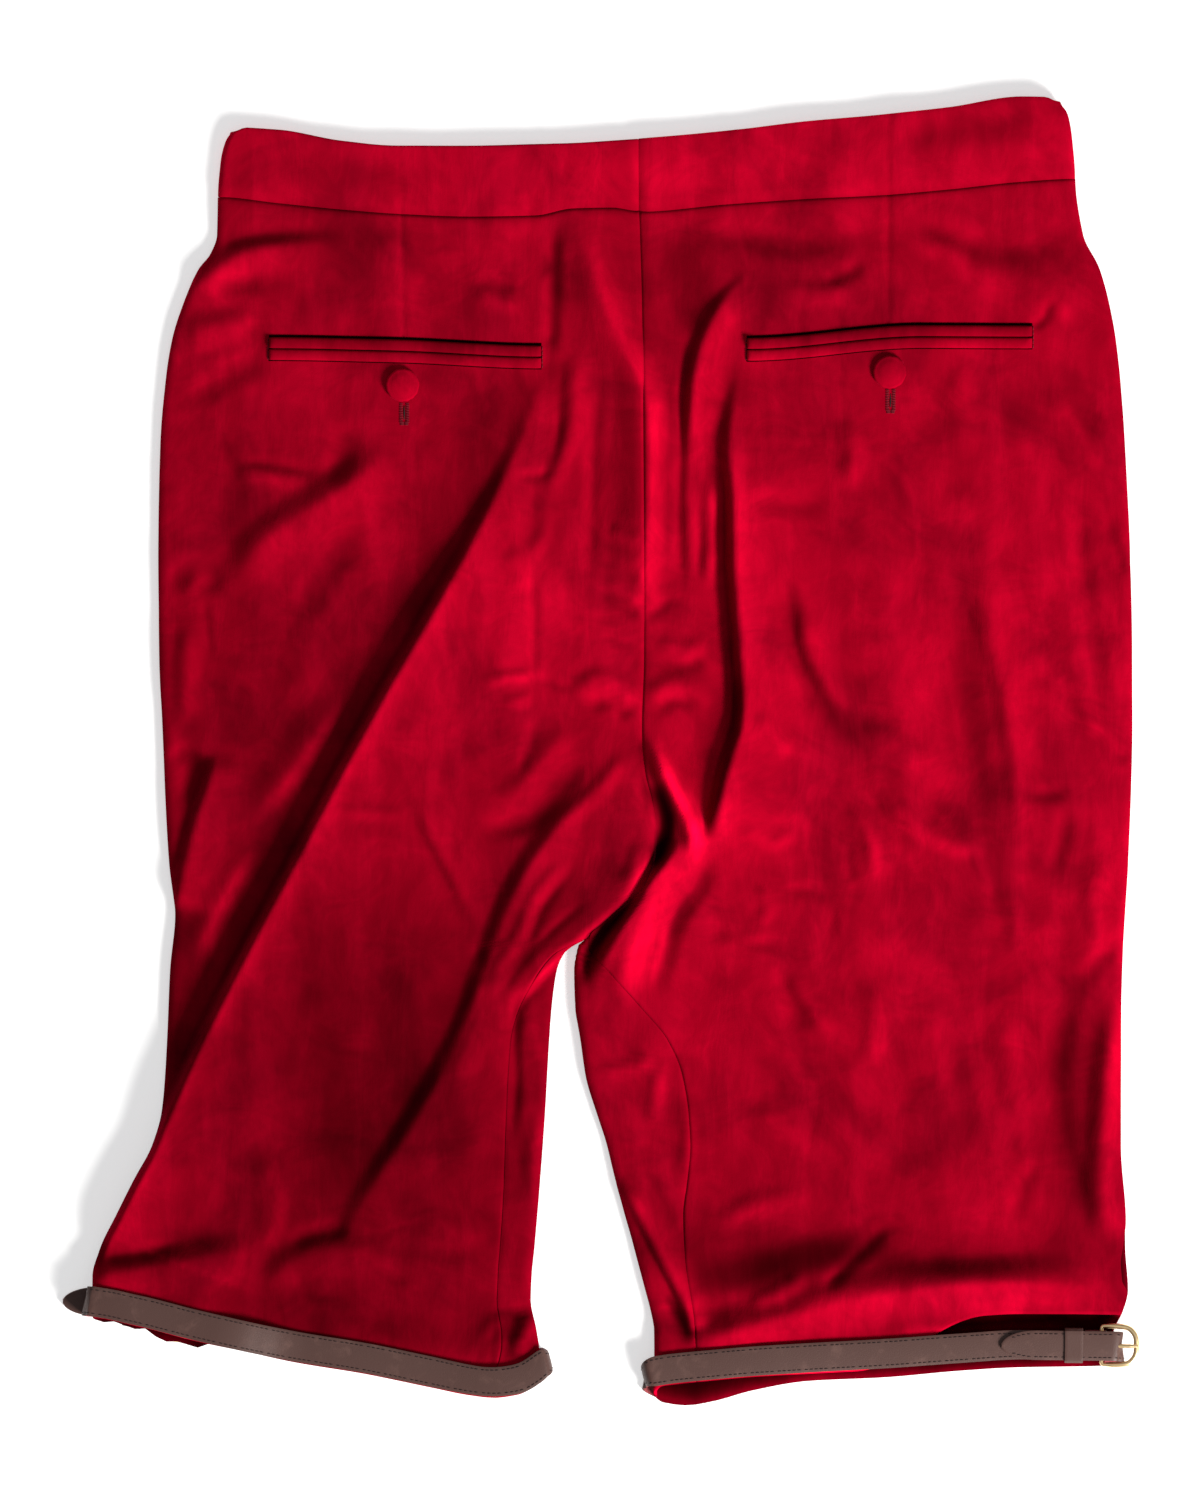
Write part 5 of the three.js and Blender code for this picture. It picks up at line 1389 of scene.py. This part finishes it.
# The way of a strap's middle line: from below the bar, round it, round the leg and out to the tip.
def strapPath(side):
    s = straps[side]
    way, leatherWall, out = outwards[side], body["leather"], s["out"]
    back, front = strapY[side]["back"], strapY[side]["front"]
    path = []

    def put(x, z, turned):
        path.append((x, mix(float(front(x)), float(back(x)), turned), float(z)))

    xs = np.arange(min(s["outerX"], s["innerX"]) - 20, max(s["outerX"], s["innerX"]) + 20, 8.0)
    raw = highestAround(xs, back(xs), 5, 8.2) + body["seam"] + 0.1 + leatherWall / 2
    wide = np.array([raw[max(0, i - 1):i + 2].max() for i in range(len(raw))])
    padded = np.pad(wide, 1, mode="edge")
    overVelvet = through(list(zip(xs, (padded[:-2] + 2 * padded[1:-1] + padded[2:]) / 4)))
    first = 1 if out > 0 else 0

    def topRun(x):
        return mix(overVelvet(x), s["fixedZ"], smooth(204, 226, x)) if out > 0 else overVelvet(x)

    for share in (0, 0.5):
        put(s["barX"] - s["returnRun"] * (1 - share), s["fixedZ"] - out * 2 * loopRound, first)
    for i in range(7):
        angle = -math.pi / 2 + math.pi * i / 6
        z = s["fixedZ"] - out * loopRound * (1 - math.sin(angle))
        put(s["barX"] + loopRound * math.cos(angle), z, first)

    def along(low, high, pieces, height, turned):
        for i in range(1, pieces + 1):
            x = mix(low, high, i / pieces)
            put(x, height(x), turned)

    deep = strapSettings["foldDepth"]

    def foldRound(edgeX, outward, lowZ, highZ, low, high):
        for i in range(1, 9):
            angle = math.pi * i / 8
            share = 0.5 - 0.5 * math.cos(angle)
            x = edgeX - outward * (leatherWall / 2 + deep * (1 - math.sin(angle)))
            put(x, mix(lowZ, highZ, share), mix(low, high, share))

    innerTurn = s["innerX"] + way * (leatherWall / 2 + deep)
    outerTurn = s["outerX"] - way * (leatherWall / 2 + deep)
    floorZ = leatherWall / 2
    if out > 0:
        along(s["barX"], innerTurn, 26, topRun, 1)
        foldRound(s["innerX"], -way, topRun(innerTurn), floorZ, 1, 0)
        along(innerTurn, outerTurn, 22, lambda x: floorZ, 0)
        foldRound(s["outerX"], way, floorZ, s["fixedZ"] + strapStep, 0, 1)

        def overFirst(x):
            return mix(topRun(x), s["fixedZ"], smooth(226, 240, x)) + strapStep + 0.1

        along(outerTurn, s["tipX"], 14, overFirst, 1)
    else:
        along(s["barX"], outerTurn, 5, lambda x: s["fixedZ"], 0)
        foldRound(s["outerX"], way, s["fixedZ"], topRun(outerTurn), 0, 1)
        along(outerTurn, innerTurn, 24, topRun, 1)
        foldRound(s["innerX"], -way, topRun(innerTurn), floorZ, 1, 0)
        along(innerTurn, -176, 14, lambda x: floorZ, 0)
        overEnd = s["fixedZ"] - s["endLift"] + loopRound + 0.15
        for x, z in ((-183, 1.5), (-189, 3.2), (-195, overEnd - 0.4), (s["endX"], overEnd),
                     (-203.5, overEnd), (-206.5, overEnd - 0.6), (-210, 3.5), (-213, 2.4)):
            put(x, z, 0)
        along(-214, s["tipX"], 9, lambda x: s["fixedZ"] - strapStep, 0)
    return np.array(path)


# How far the strap runs aslant at each point of its path, held where it turns over.
def strapLeans(path):
    last = len(path) - 1
    leans = []
    held = 0.0
    for i in [6] + list(range(last + 1)):
        a, b = path[max(0, i - 3)], path[min(last, i + 3)]
        if abs(b[0] - a[0]) >= 6:
            held = max(-0.25, min(0.25, (b[1] - a[1]) / (b[0] - a[0])))
        leans.append(held)
    return np.array(leans[1:])


def tube(name, points, radii, material, closed):
    curve = bpy.data.curves.new(name, "CURVE")
    curve.dimensions = "3D"
    curve.bevel_depth = mm
    curve.bevel_resolution = 4
    curve.use_fill_caps = True
    spline = curve.splines.new("POLY")
    spline.points.add(len(points) - 1)
    for point, place, radius in zip(spline.points, points, radii):
        point.co = (*(np.array(place) * mm), 1)
        point.radius = radius
    spline.use_cyclic_u = closed
    obj = bpy.data.objects.new(name, curve)
    bpy.context.scene.collection.objects.link(obj)
    curve.materials.append(material)
    return obj


def makeBuckle(side, s):
    p = straps[side]
    out = p["out"]
    run = strapY[side]["front"] if side == "left" else strapY[side]["back"]
    barX, endX = p["barX"], p["endX"]
    barZ = p["fixedZ"] - out * loopRound
    endZ = p["fixedZ"] + out * p["endLift"]
    barY = float(run(barX))
    tilt = (float(run(endX)) - barY) / (endX - barX)
    half, corner = s["frameHalf"], s["corner"]

    def place(x, across):
        z = mix(barZ, endZ, (x - barX) / (endX - barX))
        return x - tilt * across, barY + tilt * (x - barX) + across, z

    halfBow = [(barX + 0.5, half - 0.4), (barX + 3, half), (endX - corner - 1.5, half)]
    for angle in (25, 50, 75):
        a = math.radians(angle)
        halfBow.append((endX - corner + corner * math.sin(a), half - corner + corner * math.cos(a)))
    outline = [place(barX, across * half) for across in (-0.6, 0, 0.6)]
    outline += [place(*spot) for spot in halfBow] + [place(endX, 0)]
    outline += [place(x, -across) for x, across in halfBow[::-1]]
    wrapped = outline[-2:] + outline + outline[:3]
    line = evenPath(wrapped, s["frameSteps"])
    # one round, from the first time that the line passes the outline's start to the second
    away = np.linalg.norm(line - np.array(outline[0]), axis=1)
    first = int(np.argmin(away))
    loop = line[first:first + 19 + int(np.argmin(away[first + 20:]))]
    fromBar = smooth(1.5, 6, np.linalg.norm((loop - np.array(outline[1]))[:, [0, 2]], axis=1))
    frame = tube(f"brass_frame_{side}", loop, mix(s["wire"], s["bow"], fromBar), brass, True)
    finishPiece(frame, "brass", f"buckle_{side}")
    ring = s["wire"] + body["seam"] + s["prong"]
    points = []
    for angle in s["ringAngles"]:
        a = math.radians(angle)
        points.append((barX + ring * math.cos(a), barY, barZ + out * ring * math.sin(a)))
    restZ = endZ + out * ring
    for share, rise in ((2 / (endX - barX), 0.16), (0.6, 0.66), (1 + 0.6 / (endX - barX), 1)):
        x = mix(barX, endX, share)
        points.append((x, barY + tilt * (x - barX), mix(barZ + out * ring, restZ, rise)))
    steps = s["prongSteps"]
    line = evenPath(points, steps)
    radii = s["prong"] * np.interp(np.arange(steps + 1), [0, steps - 8, steps], [1, 1, 0.62])
    prong = tube(f"brass_prong_{side}", line, radii, brass, False)
    finishPiece(prong, "brass", f"prong_{side}")


def stitches(name, places, directions, s, material):
    size = (s["stitchLength"] / 2 * mm, s["stitchRadius"] * mm, s["stitchRadius"] * mm)
    bm = bmesh.new()
    for place, direction in zip(places, directions):
        turn = Vector(direction).to_track_quat("X", "Z").to_matrix().to_4x4()
        made = bmesh.ops.create_uvsphere(bm, u_segments=6, v_segments=5, radius=1)
        bmesh.ops.scale(bm, vec=size, verts=made["verts"])
        bmesh.ops.transform(bm, matrix=turn, verts=made["verts"])
        bmesh.ops.translate(bm, verts=made["verts"], vec=Vector(place) * mm)
    for face in bm.faces:
        face.smooth = True
    return newObject(name, bm, material)


def makeStrap(side, s):
    path = strapPath(side)
    line = evenPath(np.column_stack([path, 10 * strapLeans(path)]), s["along"])
    out, wall, width = straps[side]["out"], body["leather"], body["strapWidth"]
    lean = line[:, 3] / 10
    length = np.concatenate([[0], np.cumsum(np.linalg.norm(np.diff(line[:, :3], axis=0), axis=1))])
    left = length[-1] - length
    tip = np.clip(left / s["tipTaper"], 0, 1)
    wide = width * np.maximum(0.12, np.sqrt(1 - (1 - tip) ** 1.9))

    tangent = np.gradient(line[:, :3], axis=0)
    tangent /= np.linalg.norm(tangent, axis=1)[:, None]
    sideways = np.column_stack([-lean, np.ones_like(lean), np.zeros_like(lean)])
    normal = np.cross(tangent, sideways) * (-out)
    normal /= np.linalg.norm(normal, axis=1)[:, None]
    tuck = quarter(np.clip(1 - np.abs(line[:, 0] - straps[side]["innerX"]) / s["tuckReach"], 0, 1))
    wide = wide * (1 - s["tuck"] * tuck)
    shift = (s["tuckLift"] if out < 0 else -s["tuckLift"]) * tuck

    def onStrap(i, across, up):
        return line[i, :3].T + sideways[i].T * (across + shift[i]) + normal[i].T * up

    def place(u, v):
        i = np.rint(u * s["along"]).astype(int)
        across = ((v if out < 0 else 1 - v) - 0.5) * wide[i]
        return onStrap(i, across, s["crown"] * (1 - (2 * v - 1) ** 2))

    strap = gridPiece(f"strap_leather_{side}", s["along"], s["across"], place, leather, wall,
                      (lining, edgePaint, leather, leather, edgePaint))
    for face in strap.data.polygons:  # the tip has leather on both faces
        if face.index % s["along"] > s["along"] * (1 - s["tipLength"] / length[-1]):
            face.material_index = 3
    softEdge(strap, 0.3)
    finishPiece(strap, "leather", f"strap_{side}")
    places, directions = [], []
    for at in np.arange(6, length[-1] - 4, s["stitchPitch"]):
        i = int(np.argmin(np.abs(length - at)))
        for way in (-1, 1):
            inset = way * (wide[i] / 2 - s["stitchIn"])
            places.append(onStrap(i, inset, wall / 2 + 0.5 * s["crown"]))
            directions.append(tangent[i])
    seams = stitches(f"strap_stitches_{side}", places, directions, s, darkThread)
    finishPiece(seams, "leather")


sewingSettings = {"stitchLength": 2.4, "stitchRadius": 0.3, "spacing": 0.85, "edge": 1.6, "bar": 2.2}
slitShadeSettings = {"stitchLength": 8.5, "stitchRadius": 0.42}
holes = {"left": (-97.7, 163.5), "right": (145, 169.5)}  # the lower end of each buttonhole


# The worked buttonhole below each button, and a bar across both ends of the pocket.
def makePocketSewing(side, s):
    x, low = holes[side]
    high = pockets[side]["button"][1] - buttonSettings["radius"] - 0.4
    mouth = pockets[side]["mouth"]
    places, directions = [], []

    def sew(px, py, direction):
        places.append((px, py, float(topAt(px, py)) + 0.12))
        directions.append(direction)

    for py in np.arange(low, high, s["spacing"]):
        for way in (-1, 1):
            sew(x + way * s["edge"], py, (1, 0.12 * way, 0))
    for i in range(3):
        for way in (-1, 1):
            sew(x + way * 1.1, low - 0.6 * i, (1, 0, 0))
    for px in (mouth[0][0] - 0.7, mouth[-1][0] + 0.7):
        for i in (-2, -1, 0, 1, 2):
            sew(px, float(through(mouth)(px)) + s["bar"] * i, (0, 1, 0))
    finishPiece(stitches(f"pocket_stitches_{side}", places, directions, s, redThread), "velvet")
    # A dark bar down the middle of the buttonhole: painted shade in its cut.
    middle = (x, (low + high) / 2, float(topAt(x, (low + high) / 2)) + 0.1)
    slitShade = stitches(f"buttonhole_slit_shade_{side}", [middle], [(0, 1, 0)], slitShadeSettings, darkThread)
    finishPiece(slitShade, "velvet")


keeperSettings = {"steps": 72, "rows": 6, "length": 9, "wall": 1.0, "cut": 1.0}


# The loop that holds the tip: eight sides with cut corners, closed below the strap.
def makeKeeper(side, s):
    p = straps[side]
    out, run = p["out"], strapY[side]["back" if p["out"] > 0 else "front"]
    inner = body["strapWidth"] / 2 + body["seam"] + 0.6
    low = -(body["leather"] / 2 + body["seam"] + 0.5)
    high = strapStep + body["leather"] / 2 + body["seam"] + 0.5
    tilt = (float(run(p["keeperX"] + 6)) - float(run(p["keeperX"] - 6))) / 12
    cut = s["cut"]
    halfLoop = [(0, low), (inner - cut, low), (inner, low + cut), (inner, high - cut), (inner - cut, high)]
    corners = [(-across, up) for across, up in halfLoop] + halfLoop[::-1]

    def place(u, v):
        at = u * (len(corners) - 1)
        across, up = (np.interp(at, range(len(corners)), [corner[k] for corner in corners]) for k in (0, 1))
        along = (v - 0.5) * s["length"]
        x = p["keeperX"] + along - tilt * across
        return x, run(p["keeperX"]) + tilt * along + across, p["fixedZ"] + out * up

    keeper = gridPiece(f"keeper_loop_{side}", s["steps"], s["rows"], place, leather)
    bm = bmesh.new()
    bm.from_mesh(keeper.data)
    bmesh.ops.remove_doubles(bm, verts=bm.verts, dist=0.01 * mm)
    bmesh.ops.recalc_face_normals(bm, faces=bm.faces)
    bm.to_mesh(keeper.data)
    bm.free()
    addWall(keeper, s["wall"])
    softEdge(keeper, 0.25)
    finishPiece(keeper, "leather", f"keeper_{side}")


for side in sides:
    makeStrap(side, strapSettings)
    makeBuckle(side, buckleSettings)
    makeKeeper(side, keeperSettings)
    makePocketSewing(side, sewingSettings)
print("shorts: straps, buckles and keepers")
